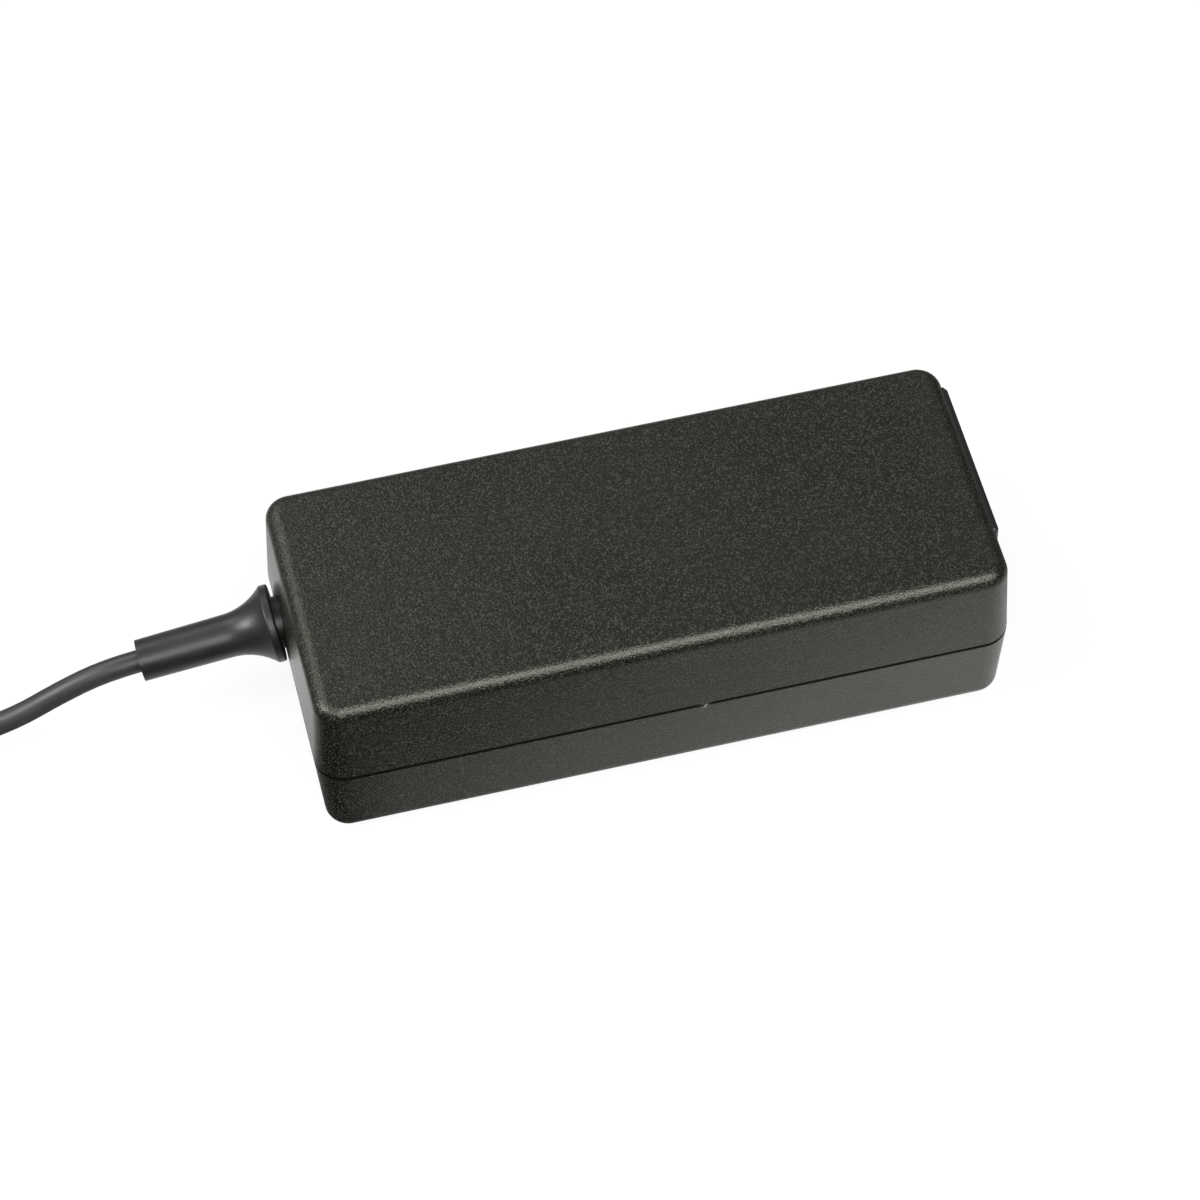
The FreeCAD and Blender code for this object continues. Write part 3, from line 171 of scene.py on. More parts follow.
class LeadSettings(bpy.types.PropertyGroup):
    jacket: FloatVectorProperty(
        name="Jacket colour", description="Colour of the lead's jacket",
        subtype="COLOR", min=0.0, max=1.0, default=(0.022, 0.022, 0.021))
    length: FloatProperty(
        name="Length", description="Length of the lead from the strain relief to the plug",
        unit="LENGTH", default=1.8)
    diameter: FloatProperty(
        name="Diameter", description="Diameter of the lead",
        unit="LENGTH", default=0.0035)
    outer_turn: FloatProperty(
        name="Outer turn", description="Radius of the coil's outermost turn, to the lead's middle",
        unit="LENGTH", default=0.0237)
    lowest_turn: FloatProperty(
        name="Lowest turn", description="Height of the middle of the lowest turns",
        unit="LENGTH", default=0.00255)
    points_per_turn: IntProperty(
        name="Points per turn", description="Control points in one turn of the coil",
        min=12, default=24)


class StrapSettings(bpy.types.PropertyGroup):
    colour: FloatVectorProperty(
        name="Strap colour", description="Colour of the strap round the coil",
        subtype="COLOR", min=0.0, max=1.0, default=(0.018, 0.018, 0.020))
    thickness: FloatProperty(
        name="Strap thickness", description="Thickness of the strap",
        unit="LENGTH", default=0.0007)
    corner: FloatProperty(
        name="Strap corner", description="Radius of the strap's bends round the coil",
        unit="LENGTH", default=0.0022)


class StageSettings(bpy.types.PropertyGroup):
    floor: FloatVectorProperty(
        name="Floor colour", description="Colour of the studio floor",
        subtype="COLOR", min=0.0, max=1.0, default=(0.86, 0.86, 0.86))
    backdrop: FloatProperty(
        name="Backdrop light", description="Brightness of the room behind and above the object",
        min=0.0, default=0.50)
    camera_side: FloatProperty(
        name="Camera side light", description="Brightness of the room on the camera's side",
        min=0.0, default=0.03)
    softbox: FloatProperty(
        name="Softbox power", description="Power of the long lamp above the camera",
        unit="POWER", min=0.0, default=5.4)
    side_light: FloatProperty(
        name="Side light power", description="Power of the lamp beside the lead's end",
        unit="POWER", min=0.0, default=3.0)
    back_light: FloatProperty(
        name="Back light power", description="Power of the lamp behind the lead's end",
        unit="POWER", min=0.0, default=0.6)
    floor_dark: FloatProperty(
        name="Floor's dark side",
        description="Brightness that gloss sees in the floor to the front left",
        min=0.0, default=0.03)
    floor_bright: FloatProperty(
        name="Floor's bright side",
        description="Brightness that gloss sees in the floor to the back right",
        min=0.0, default=1.02)
    floor_pool: FloatProperty(
        name="Floor's pool of light",
        description="Brightness that gloss sees added at the lead's end",
        min=0.0, default=0.7)
    azimuth: FloatProperty(
        name="Camera azimuth", description="Camera angle round the object, from the front",
        unit="ROTATION", default=math.radians(-12.56))
    elevation: FloatProperty(
        name="Camera elevation", description="Camera angle above the floor",
        unit="ROTATION", default=math.radians(54.22))
    roll: FloatProperty(
        name="Camera roll", description="Turn of the camera about its own line of sight",
        unit="ROTATION", default=math.radians(-1.42))
    distance: FloatProperty(
        name="Camera distance", description="Distance from the camera to its target",
        unit="LENGTH", default=0.6718)
    target: FloatVectorProperty(
        name="Camera target", description="Point at the middle of the picture",
        subtype="XYZ", unit="LENGTH", default=(-0.005045, 0.001825, 0.013250))
    lens: FloatProperty(
        name="Lens", description="Focal length on a 36 mm sensor, in millimetres",
        unit="CAMERA", default=133.2)


# Shader nodes

def add(tree, kind, inputs=None, **settings):
    """A node with its settings, and with values or links for its inputs"""
    node = tree.nodes.new(kind)
    for name, value in settings.items():
        setattr(node, name, value)
    for name, value in (inputs or {}).items():
        socket = node.inputs[name]
        if isinstance(value, bpy.types.NodeSocket):
            tree.links.new(value, socket)
        else:
            socket.default_value = value
    return node


def maths(tree, operation, first, second=0.5, third=None, clamp=False):
    """The result of one sum"""
    inputs = {0: first, 1: second}
    if third is not None:
        inputs[2] = third
    return add(tree, "ShaderNodeMath", inputs, operation=operation, use_clamp=clamp).outputs[0]


def vector_maths(tree, operation, inputs, output="Value"):
    """The result of one sum with places or directions"""
    return add(tree, "ShaderNodeVectorMath", inputs, operation=operation).outputs[output]


def object_place(tree):
    """The place on the piece, in metres"""
    return tree.nodes.new("ShaderNodeTexCoord").outputs["Object"]


def noise(tree, place, scale, detail, **inputs):
    """The level of a cloudy pattern"""
    inputs.update({"Vector": place, "Scale": scale, "Detail": detail})
    return add(tree, "ShaderNodeTexNoise", inputs).outputs["Fac"]


def stretch(tree, value, low, high, to_low=0.0, to_high=1.0):
    """A value mapped from one range to another, and held inside it"""
    return add(tree, "ShaderNodeMapRange", {
        "Value": value, "From Min": low, "From Max": high, "To Min": to_low, "To Max": to_high,
    }).outputs["Result"]


def spot(tree, place, centre, reach, levels):
    """The first level inside a round spot, going over to the second one outside it"""
    away = vector_maths(tree, "DISTANCE", {0: place, 1: centre})
    return stretch(tree, away, *reach, *levels)


def blend_colours(tree, share, first, second):
    """A colour between two others"""
    node = add(tree, "ShaderNodeMix", {0: share, 6: first, 7: second}, data_type="RGBA")
    return node.outputs[2]


def scaled_place(tree, size):
    """The place on the piece, measured in steps of one size"""
    steps = maths(tree, "DIVIDE", 1.0, size)
    return vector_maths(tree, "SCALE", {0: object_place(tree), "Scale": steps}, 0)


def new_group(name, inputs, outputs):
    """An empty node group with named number sockets"""
    group = bpy.data.node_groups.new(name, "ShaderNodeTree")
    for label, default in inputs:
        kind = "NodeSocketVector" if isinstance(default, tuple) else "NodeSocketFloat"
        socket = group.interface.new_socket(name=label, in_out="INPUT", socket_type=kind)
        socket.default_value = default
    for label in outputs:
        group.interface.new_socket(name=label, in_out="OUTPUT", socket_type="NodeSocketFloat")
    entry = group.nodes.new("NodeGroupInput")
    leave = group.nodes.new("NodeGroupOutput")
    return group, entry.outputs, leave.inputs


def moulded_grain_group():
    """Spark-eroded grain: rounded bumps of mixed size with finer grit between them"""
    group, given, result = new_group("Moulded grain", (("Size", 0.0004),), ("Height", "Speckle"))
    place = scaled_place(group, given["Size"])
    coarse = noise(group, place, 1.0, 2.0, Roughness=0.55)
    cells = add(group, "ShaderNodeTexVoronoi", {
        "Vector": place, "Scale": 0.9, "Smoothness": 0.6}, feature="SMOOTH_F1").outputs["Distance"]
    fine = noise(group, place, 3.1, 1.0)
    bumps = maths(group, "MULTIPLY_ADD", cells, -0.7, coarse)
    height = maths(group, "MULTIPLY_ADD", fine, 0.25, bumps)
    group.links.new(height, result["Height"])
    group.links.new(stretch(group, coarse, 0.50, 0.67), result["Speckle"])
    return group


def handling_group():
    """Faint smudges and stray marks left by handling"""
    group, given, result = new_group("Handling marks", (("Size", 0.02),), ("Smudge", "Marks"))
    place = scaled_place(group, given["Size"])
    cloud = noise(group, place, 1.0, 3.0, Distortion=0.6)
    group.links.new(stretch(group, cloud, 0.35, 0.72), result["Smudge"])
    drawn_out = {"Vector": place, "Scale": (1.0, 9.0, 5.0)}
    streaks = add(group, "ShaderNodeMapping", drawn_out).outputs[0]
    scratch = noise(group, streaks, 2.4, 2.0, Distortion=0.3)
    group.links.new(stretch(group, scratch, 0.69, 0.78), result["Marks"])
    return group


def rubbed_edges_group():
    """Where a block's own edges are, from its middle, half size and the width of its edges"""
    group, given, result = new_group(
        "Rubbed edges", (("Middle", (0.0, 0.0, 0.0)), ("Half", (1.0, 1.0, 1.0)), ("Band", 0.002)),
        ("Edge",))
    offset = vector_maths(group, "SUBTRACT", {0: object_place(group), 1: given["Middle"]}, 0)
    reach = vector_maths(group, "ABSOLUTE", {0: offset}, 0)
    inside = vector_maths(group, "SUBTRACT", {0: given["Half"], 1: reach}, 0)
    split = add(group, "ShaderNodeSeparateXYZ", {0: inside}).outputs
    depths = [maths(group, "DIVIDE", axis, given["Band"], clamp=True) for axis in split]
    near = [maths(group, "SUBTRACT", 1.0, depth, clamp=True) for depth in depths]
    pairs = [maths(group, "MULTIPLY", near[a], near[b]) for a, b in ((0, 1), (1, 2), (0, 2))]
    total = maths(group, "ADD", maths(group, "ADD", pairs[0], pairs[1]), pairs[2], clamp=True)
    group.links.new(total, result["Edge"])
    return group


def brushed_group():
    """Fine drawn lines along X with a few dull patches, for plated and sheet metal"""
    group, given, result = new_group("Drawn metal", (("Size", 0.0006),), ("Lines", "Tarnish"))
    place = scaled_place(group, given["Size"])
    drawn_out = {"Vector": place, "Scale": (0.05, 1.0, 1.0)}
    drawn = add(group, "ShaderNodeMapping", drawn_out).outputs[0]
    lines = noise(group, drawn, 1.6, 3.0)
    group.links.new(lines, result["Lines"])
    patches = noise(group, place, 0.12, 3.0)
    group.links.new(stretch(group, patches, 0.45, 0.75), result["Tarnish"])
    return group


def weave_group():
    """Plain weave of crossed threads, from two waves at right angles"""
    group, given, result = new_group("Plain weave", (("Size", 0.0005),), ("Height", "Thread"))
    place = scaled_place(group, given["Size"])
    split = add(group, "ShaderNodeSeparateXYZ", {0: place}).outputs
    along = maths(group, "SINE", maths(group, "MULTIPLY", split[0], math.pi))
    up = maths(group, "ADD", split[1], split[2])
    over = maths(group, "SINE", maths(group, "MULTIPLY", up, math.pi))
    crossed = maths(group, "MULTIPLY", along, over)
    fuzz = noise(group, place, 2.0, 3.0)
    height = maths(group, "MULTIPLY_ADD", fuzz, 0.8, crossed)
    group.links.new(height, result["Height"])
    group.links.new(stretch(group, height, -0.4, 1.2), result["Thread"])
    return group


GROUP_MAKERS = {
    "Moulded grain": moulded_grain_group,
    "Handling marks": handling_group,
    "Rubbed edges": rubbed_edges_group,
    "Drawn metal": brushed_group,
    "Plain weave": weave_group,
}


def use_group(tree, name, **values):
    """One of the shared groups placed in a material, with its own values"""
    group = bpy.data.node_groups.get(name) or GROUP_MAKERS[name]()
    node = tree.nodes.new("ShaderNodeGroup")
    node.node_tree = group
    for label, value in values.items():
        node.inputs[label].default_value = value
    return node.outputs


# Materials

def rgba(colour, lift=1.0):
    """A colour as four numbers, made lighter or darker by a factor"""
    return tuple(min(1.0, part * lift) for part in colour[:3]) + (1.0,)


def new_material(name):
    """A material with one Principled shader"""
    material = bpy.data.materials.new(name)
    material.use_nodes = True
    tree = material.node_tree
    tree.nodes.clear()
    shader = tree.nodes.new("ShaderNodeBsdfPrincipled")
    output = tree.nodes.new("ShaderNodeOutputMaterial")
    tree.links.new(shader.outputs["BSDF"], output.inputs["Surface"])
    return material, tree, shader


def set_bump(tree, shader, height, depth):
    """Relief of a depth in metres on the shader's normal"""
    bump = add(tree, "ShaderNodeBump", {"Height": height, "Distance": depth})
    tree.links.new(bump.outputs["Normal"], shader.inputs["Normal"])
    return bump


def case_plastic(name, settings, middle, half, painted_light):
    """Charcoal case plastic: coarse grain, rubbed edges and smudges in colours scaled by the
    shell's painted light, painted shade along the joint, and one scuff
    """
    material, tree, shader = new_material(name)
    charcoal = settings.charcoal
    grain = use_group(tree, "Moulded grain", Size=settings.grain_size)
    marks = use_group(tree, "Handling marks", Size=30 * MM)
    edges = use_group(tree, "Rubbed edges", Middle=middle, Half=half, Band=RUBBED_BAND)
    # The grain, smudge and rubbed colours are scaled by the shell's painted light
    colour = blend_colours(tree, grain["Speckle"], rgba(charcoal, 0.10 * painted_light),
                           rgba(charcoal, 3.6 * painted_light))
    smudged = maths(tree, "MULTIPLY", marks["Smudge"], 0.35)
    colour = blend_colours(tree, smudged, colour, rgba(charcoal, 1.5 * painted_light))
    worn = maths(tree, "MULTIPLY", edges["Edge"], settings.rubbed)
    colour = blend_colours(tree, worn, colour, rgba(charcoal, 1.7 * painted_light))
    # The shells are painted darker where they meet, as shade in the gap between them
    place = object_place(tree)
    height = add(tree, "ShaderNodeSeparateXYZ", {0: place}).outputs[2]
    below = maths(tree, "SUBTRACT", JOINT_HEIGHT, height)
    joint = stretch(tree, maths(tree, "ABSOLUTE", below), *JOINT_PAINTED_SHADE, 1.0, 0.0)
    colour = blend_colours(tree, joint, colour, rgba(charcoal, 0.2))
    nick = spot(tree, place, SCUFF_PLACE, SCUFF_REACH, (1.0, 0.0))
    scuff = maths(tree, "MULTIPLY", nick, grain["Speckle"], clamp=True)
    colour = blend_colours(tree, scuff, colour, SCUFF_COLOUR)
    tree.links.new(colour, shader.inputs["Base Color"])
    rough = maths(tree, "MULTIPLY_ADD", grain["Speckle"], 0.10, settings.roughness)
    rough = maths(tree, "MULTIPLY_ADD", marks["Smudge"], -0.05, rough)
    rough = maths(tree, "MULTIPLY_ADD", worn, -0.10, rough, clamp=True)
    tree.links.new(rough, shader.inputs["Roughness"])
    shader.inputs["Specular Tint"].default_value = GLOSS_TINT
    grained = set_bump(tree, shader, grain["Height"], settings.grain_depth)
    # The lower shell's edge is rounded at the joint
    rounded = stretch(tree, below, *JOINT_ROUNDING, 1.0, 0.0)
    edge = add(tree, "ShaderNodeBump", {"Height": rounded, "Distance": ROUNDING_DEPTH}, invert=True)
    tree.links.new(edge.outputs["Normal"], grained.inputs["Normal"])
    return material


def plain_plastic(name, colour, roughness, grain_size=0.3 * MM, depth=0.01 * MM, coat=0.0,
                  variation=0.2):
    """Moulded, cased or dipped material with fine grain, uneven gloss and handling marks"""
    material, tree, shader = new_material(name)
    grain = use_group(tree, "Moulded grain", Size=grain_size)
    marks = use_group(tree, "Handling marks", Size=12 * MM)
    base = blend_colours(tree, grain["Speckle"], rgba(colour, 1.0 - variation),
                         rgba(colour, 1.0 + variation))
    smudged = maths(tree, "MULTIPLY", marks["Smudge"], 0.3)
    tree.links.new(blend_colours(tree, smudged, base, rgba(colour, 1.0 + 2 * variation)),
                   shader.inputs["Base Color"])
    rough = maths(tree, "MULTIPLY_ADD", marks["Smudge"], 0.12, roughness)
    rough = maths(tree, "MULTIPLY_ADD", marks["Marks"], -0.08, rough, clamp=True)
    tree.links.new(rough, shader.inputs["Roughness"])
    shader.inputs["Coat Weight"].default_value = coat
    set_bump(tree, shader, grain["Height"], depth)
    return material


def plain_metal(name, colour, roughness, lines=0.6 * MM, depth=0.004 * MM):
    """Plated or sheet metal with drawn lines and dull patches"""
    material, tree, shader = new_material(name)
    shader.inputs["Metallic"].default_value = 1.0
    drawn = use_group(tree, "Drawn metal", Size=lines)
    marks = use_group(tree, "Handling marks", Size=8 * MM)
    tree.links.new(blend_colours(tree, drawn["Tarnish"], rgba(colour), rgba(colour, 0.72)),
                   shader.inputs["Base Color"])
    rough = maths(tree, "MULTIPLY_ADD", drawn["Lines"], 0.16, roughness - 0.08)
    rough = maths(tree, "MULTIPLY_ADD", drawn["Tarnish"], 0.15, rough)
    rough = maths(tree, "MULTIPLY_ADD", marks["Marks"], 0.10, rough, clamp=True)
    tree.links.new(rough, shader.inputs["Roughness"])
    set_bump(tree, shader, drawn["Lines"], depth)
    return material


def wound_wire(name, colour, wire=0.5 * MM, metallic=1.0):
    """Enamelled turns lying side by side up a winding, painted darker in the grooves between them
    as shade
    """
    material, tree, shader = new_material(name)
    shader.inputs["Metallic"].default_value = metallic
    place = scaled_place(tree, wire)
    up = add(tree, "ShaderNodeSeparateXYZ", {0: place}).outputs[2]
    turns = maths(tree, "ABSOLUTE", maths(tree, "SINE", maths(tree, "MULTIPLY", up, math.pi)))
    marks = use_group(tree, "Handling marks", Size=6 * MM)
    # The colour is painted darker in the grooves between turns, as shade
    tree.links.new(blend_colours(tree, turns, rgba(colour, 0.35), rgba(colour)),
                   shader.inputs["Base Color"])
    tree.links.new(maths(tree, "MULTIPLY_ADD", marks["Smudge"], 0.2, 0.25),
                   shader.inputs["Roughness"])
    set_bump(tree, shader, turns, wire / 2)
    return material


def woven(name, colour, thread, depth, roughness=0.8, coat=0.0, contrast=0.4):
    """Crossed threads: the strap's webbing and the board's glass cloth"""
    material, tree, shader = new_material(name)
    weave = use_group(tree, "Plain weave", Size=thread)
    marks = use_group(tree, "Handling marks", Size=10 * MM)
    base = blend_colours(tree, weave["Thread"], rgba(colour, 1.0 - contrast),
                         rgba(colour, 1.0 + contrast))
    smudged = maths(tree, "MULTIPLY", marks["Smudge"], 0.3)
    tree.links.new(blend_colours(tree, smudged, base, rgba(colour, 1.4)),
                   shader.inputs["Base Color"])
    tree.links.new(maths(tree, "MULTIPLY_ADD", weave["Thread"], -0.12, roughness, clamp=True),
                   shader.inputs["Roughness"])
    shader.inputs["Coat Weight"].default_value = coat
    set_bump(tree, shader, weave["Height"], depth)
    return material


def dress(node_names, material):
    """Gives carried-over CAD nodes a material in place of their plain one"""
    for name in node_names:
        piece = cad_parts[name]
        if not piece.material_slots:
            piece.data.materials.append(None)
        for place in piece.material_slots:
            place.material = material


# New pieces

def add_piece(name, data, material):
    """An object that rides with the adapter, with the material that it is given"""
    piece = bpy.data.objects.new(name, data)
    bpy.context.scene.collection.objects.link(piece)
    data.materials.append(material)
    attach(piece, "root")
    return piece


def coil_points(lead):
    """Control points of the wound lead: in and out through four layers of turns side by side"""
    per_turn = lead.points_per_turn
    # A smooth line of control points runs this far inside them
    inside = 0.75 + 0.25 * math.cos(2 * math.pi / per_turn)
    columns = [lead.outer_turn - place * lead.diameter for place in range(COIL_COLUMNS)]
    inward, outward = columns, columns[::-1]
    turns = [(radius, 0) for radius in inward] + [(radius, 1) for radius in outward]
    turns += [(radius, 2) for radius in inward[:3]] + [(radius, 3) for radius in outward[1:]]
    centre = Vector((TAIL_ROUTE[0][0] - lead.outer_turn, TAIL_ROUTE[0][1]))
    steps = int(per_turn * (len(turns) - 0.25))
    points = []
    for step in range(1, steps):
        turn, part = divmod(step / per_turn, 1.0)
        radius, layer = turns[int(turn)]
        next_radius, next_layer = turns[min(int(turn) + 1, len(turns) - 1)]
        # The last quarter of each turn moves over to the next one
        share = max(0.0, 4 * part - 3)
        share = share * share * (3 - 2 * share)
        # It swings inward where it climbs on the inner side, and half as far outward on the outer
        swing = 0.0
        if next_layer != layer:
            side = 0.5 if layer == 1 else -1.0
            swing = side * CLIMB_SWING * math.sin(math.pi * share)
        reach = (radius + (next_radius - radius) * share + swing) / inside
        height = lead.lowest_turn + (layer + (next_layer - layer) * share) * lead.diameter
        angle = math.pi / 2 + 2 * math.pi * step / per_turn
        points.append((
            centre.x + reach * math.cos(angle), centre.y + reach * math.sin(angle), height))
    return points


class ADAPTER_OT_case(bpy.types.Operator):
    """Finishes the two case shells in grained charcoal plastic"""
    bl_idname = "adapter.case"
    bl_label = "Finish the case"

    def execute(self, context):
        settings = context.scene.adapter_case
        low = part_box("lower_shell")[0]
        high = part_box("upper_shell")[1]
        middle = tuple((low + high) / 2)
        half = tuple((high - low) / 2)
        # The lower shell is painted lighter, standing in for the brighter light it catches
        for name, painted_light in SHELL_PAINTED_LIGHT.items():
            dress((name,), case_plastic(name + "_plastic", settings, middle, half, painted_light))
        return {"FINISHED"}


class ADAPTER_OT_inlet(bpy.types.Operator):
    """Finishes the mains inlet and its three pins"""
    bl_idname = "adapter.inlet"
    bl_label = "Finish the mains inlet"

    def execute(self, context):
        dress(("inlet_housing",), plain_plastic(
            "inlet_black", (0.008, 0.008, 0.008), 0.36, grain_size=0.25 * MM, depth=0.003 * MM))
        dress(PINS, plain_metal("pin_plating", (0.72, 0.70, 0.66), 0.28))
        return {"FINISHED"}


class ADAPTER_OT_strain_relief(bpy.types.Operator):
    """Finishes the moulded strain relief in smooth soft plastic"""
    bl_idname = "adapter.strain_relief"
    bl_label = "Finish the strain relief"

    def execute(self, context):
        dress(("strain_relief",), plain_plastic(
            "relief_black", (0.012, 0.0115, 0.010), 0.34, depth=0.006 * MM, variation=0.3))
        return {"FINISHED"}


class ADAPTER_OT_board_parts(bpy.types.Operator):
    """Finishes the circuit board, its covers and the components on it"""
    bl_idname = "adapter.board_parts"
    bl_label = "Finish the board and its parts"

    def execute(self, context):
        dress(("circuit_board",), woven(
            "glass_laminate", (0.42, 0.36, 0.19), thread=0.4 * MM, depth=0.004 * MM,
            roughness=0.45, coat=0.3, contrast=0.12))
        dress(("heat_spreader", "primary_heat_sink"),
              plain_metal("sheet_aluminium", (0.6, 0.6, 0.61), 0.42))
        dress(("transistor_screw",), plain_metal("zinc_steel", (0.5, 0.5, 0.48), 0.35))
        dress(("insulation_film", "floor_film"), plain_plastic(
            "insulation_film", (0.75, 0.71, 0.58), 0.3, grain_size=1.5 * MM, depth=0.02 * MM,
            variation=0.06))
        dress(("mains_fuse",), plain_plastic("fuse_case", (0.05, 0.05, 0.05), 0.5))
        dress(("filter_capacitor",), plain_plastic(
            "capacitor_box", (0.60, 0.42, 0.05), 0.38, grain_size=0.5 * MM, variation=0.1))
        dress(CANS, plain_plastic(
            "capacitor_sleeve", (0.03, 0.035, 0.06), 0.32, grain_size=1.2 * MM, depth=0.02 * MM,
            coat=0.4))
        dress(("safety_capacitor",), plain_plastic(
            "dipped_ceramic", (0.05, 0.14, 0.42), 0.25, grain_size=1.0 * MM, depth=0.03 * MM,
            coat=0.5))
        dress(FERRITES, plain_plastic(
            "ground_ferrite", (0.045, 0.045, 0.05), 0.48, grain_size=0.15 * MM, depth=0.012 * MM,
            variation=0.35))
        dress(COPPER_WINDINGS, wound_wire("enamelled_copper", (0.70, 0.27, 0.12)))
        dress(("transformer_winding",), wound_wire(
            "winding_tape", (0.75, 0.60, 0.10), wire=1.4 * MM, metallic=0.0))
        dress(("transformer_bobbin",), plain_plastic("bobbin_black", (0.02, 0.02, 0.02), 0.45))
        dress(EPOXY_PARTS, plain_plastic(
            "moulded_epoxy", (0.025, 0.025, 0.026), 0.55, grain_size=0.12 * MM, depth=0.006 * MM))
        dress(("output_wire_positive",), plain_plastic("red_insulation", (0.42, 0.02, 0.02), 0.38))
        dress(("output_wire_return",), plain_plastic("black_insulation", (0.02, 0.02, 0.02), 0.38))
        return {"FINISHED"}


class ADAPTER_OT_lead(bpy.types.Operator):
    """Makes the low-voltage lead as one cord, from the strain relief to the plug"""
    bl_idname = "adapter.lead"
    bl_label = "Make the lead"

    def execute(self, context):
        lead = context.scene.adapter_lead
        route = LEAD_ROUTE + tuple(coil_points(lead)) + TAIL_ROUTE
        curve = bpy.data.curves.new("lead", "CURVE")
        curve.dimensions = "3D"
        curve.resolution_u = 4
        curve.bevel_depth = lead.diameter / 2
        curve.bevel_resolution = 5
        curve.use_fill_caps = True
        spline = curve.splines.new("NURBS")
        spline.points.add(len(route) - 1)
        for point, place in zip(spline.points, route):
            point.co = (*place, 1.0)
        spline.order_u = 3
        spline.use_endpoint_u = True
        jacket = plain_plastic("lead_jacket", lead.jacket, 0.38, grain_size=0.6 * MM,
                               depth=0.006 * MM, variation=0.12)
        piece = add_piece("lead", curve, jacket)
        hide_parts("cord_lead", "cord_coil", "cord_tail")
        return {"FINISHED"}


class ADAPTER_OT_strap(bpy.types.Operator):
    """Makes the woven strap that holds the coil together"""
    bl_idname = "adapter.strap"
    bl_label = "Make the strap"

    def execute(self, context):
        strap = context.scene.adapter_strap
        low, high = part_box("cord_tie")
        skin = strap.thickness / 2
        near, far = high.y - skin, low.y + skin
        bottom, top = low.z + skin, high.z - skin
        # The inner side slopes back over the upper turns, which are one column fewer
        shoulder = near - STRAP_SLOPE * context.scene.adapter_lead.diameter
        corners = (
            (far, bottom), (far, top), (shoulder, top), (near, (bottom + top) / 2), (near, bottom))
        mesh = bmesh.new()
        bends = [mesh.verts.new((low.x, y, z)) for y, z in corners]
        mesh.faces.new(bends)
        bmesh.ops.bevel(mesh, geom=bends, offset=strap.corner, offset_type="OFFSET", segments=6,
                        profile=0.5, affect="VERTICES", material=-1)
        bmesh.ops.delete(mesh, geom=list(mesh.faces), context="FACES_ONLY")
        grown = bmesh.ops.extrude_edge_only(mesh, edges=list(mesh.edges))["geom"]
        moved = [item for item in grown if isinstance(item, bmesh.types.BMVert)]
        bmesh.ops.translate(mesh, verts=moved, vec=(high.x - low.x, 0, 0))
        bmesh.ops.recalc_face_normals(mesh, faces=list(mesh.faces))
        data = bpy.data.meshes.new("coil_strap")
        mesh.to_mesh(data)
        mesh.free()
        webbing = woven("strap_webbing", strap.colour, thread=0.45 * MM, depth=0.06 * MM)
        piece = add_piece("coil_strap", data, webbing)
        wall = piece.modifiers.new("Thickness", "SOLIDIFY")
        wall.thickness = strap.thickness * STRAP_WALL
        wall.offset = 0.0
        soft = piece.modifiers.new("Soft edges", "BEVEL")
        soft.width = strap.thickness * STRAP_SOFT_EDGE
        soft.segments = 2
        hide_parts("cord_tie")
        return {"FINISHED"}


class ADAPTER_OT_plug(bpy.types.Operator):
    bl_idname = "adapter.plug"
    bl_label = "Finish the plug"

    def execute(self, context):
        dress(("plug_grip",), plain_plastic(
            "plug_grip_black", (0.018, 0.018, 0.018), 0.45, grain_size=0.25 * MM))
        dress(PLUG_METAL, plain_metal(
            "plug_plating", (0.75, 0.74, 0.72), 0.2, lines=0.4 * MM, depth=0.002 * MM))
        dress(("plug_insulator",), plain_plastic(
            "plug_insulator_black", (0.015, 0.015, 0.015), 0.35))
        return {"FINISHED"}


class ADAPTER_OT_stage(bpy.types.Operator):
    """Sets up the pale floor, the lamps, the room and the camera"""
    bl_idname = "adapter.stage"
    bl_label = "Set up the stage"

    def execute(self, context):
        stage = context.scene.adapter_stage
        make_floor(stage)
        make_room(context.scene, stage)
        for name, place, aim, size, power in LAMPS:
            add_softbox(name, place, aim, size, getattr(stage, power))
        make_camera(context.scene, stage)
        context.scene.view_settings.view_transform = "Standard"
        return {"FINISHED"}


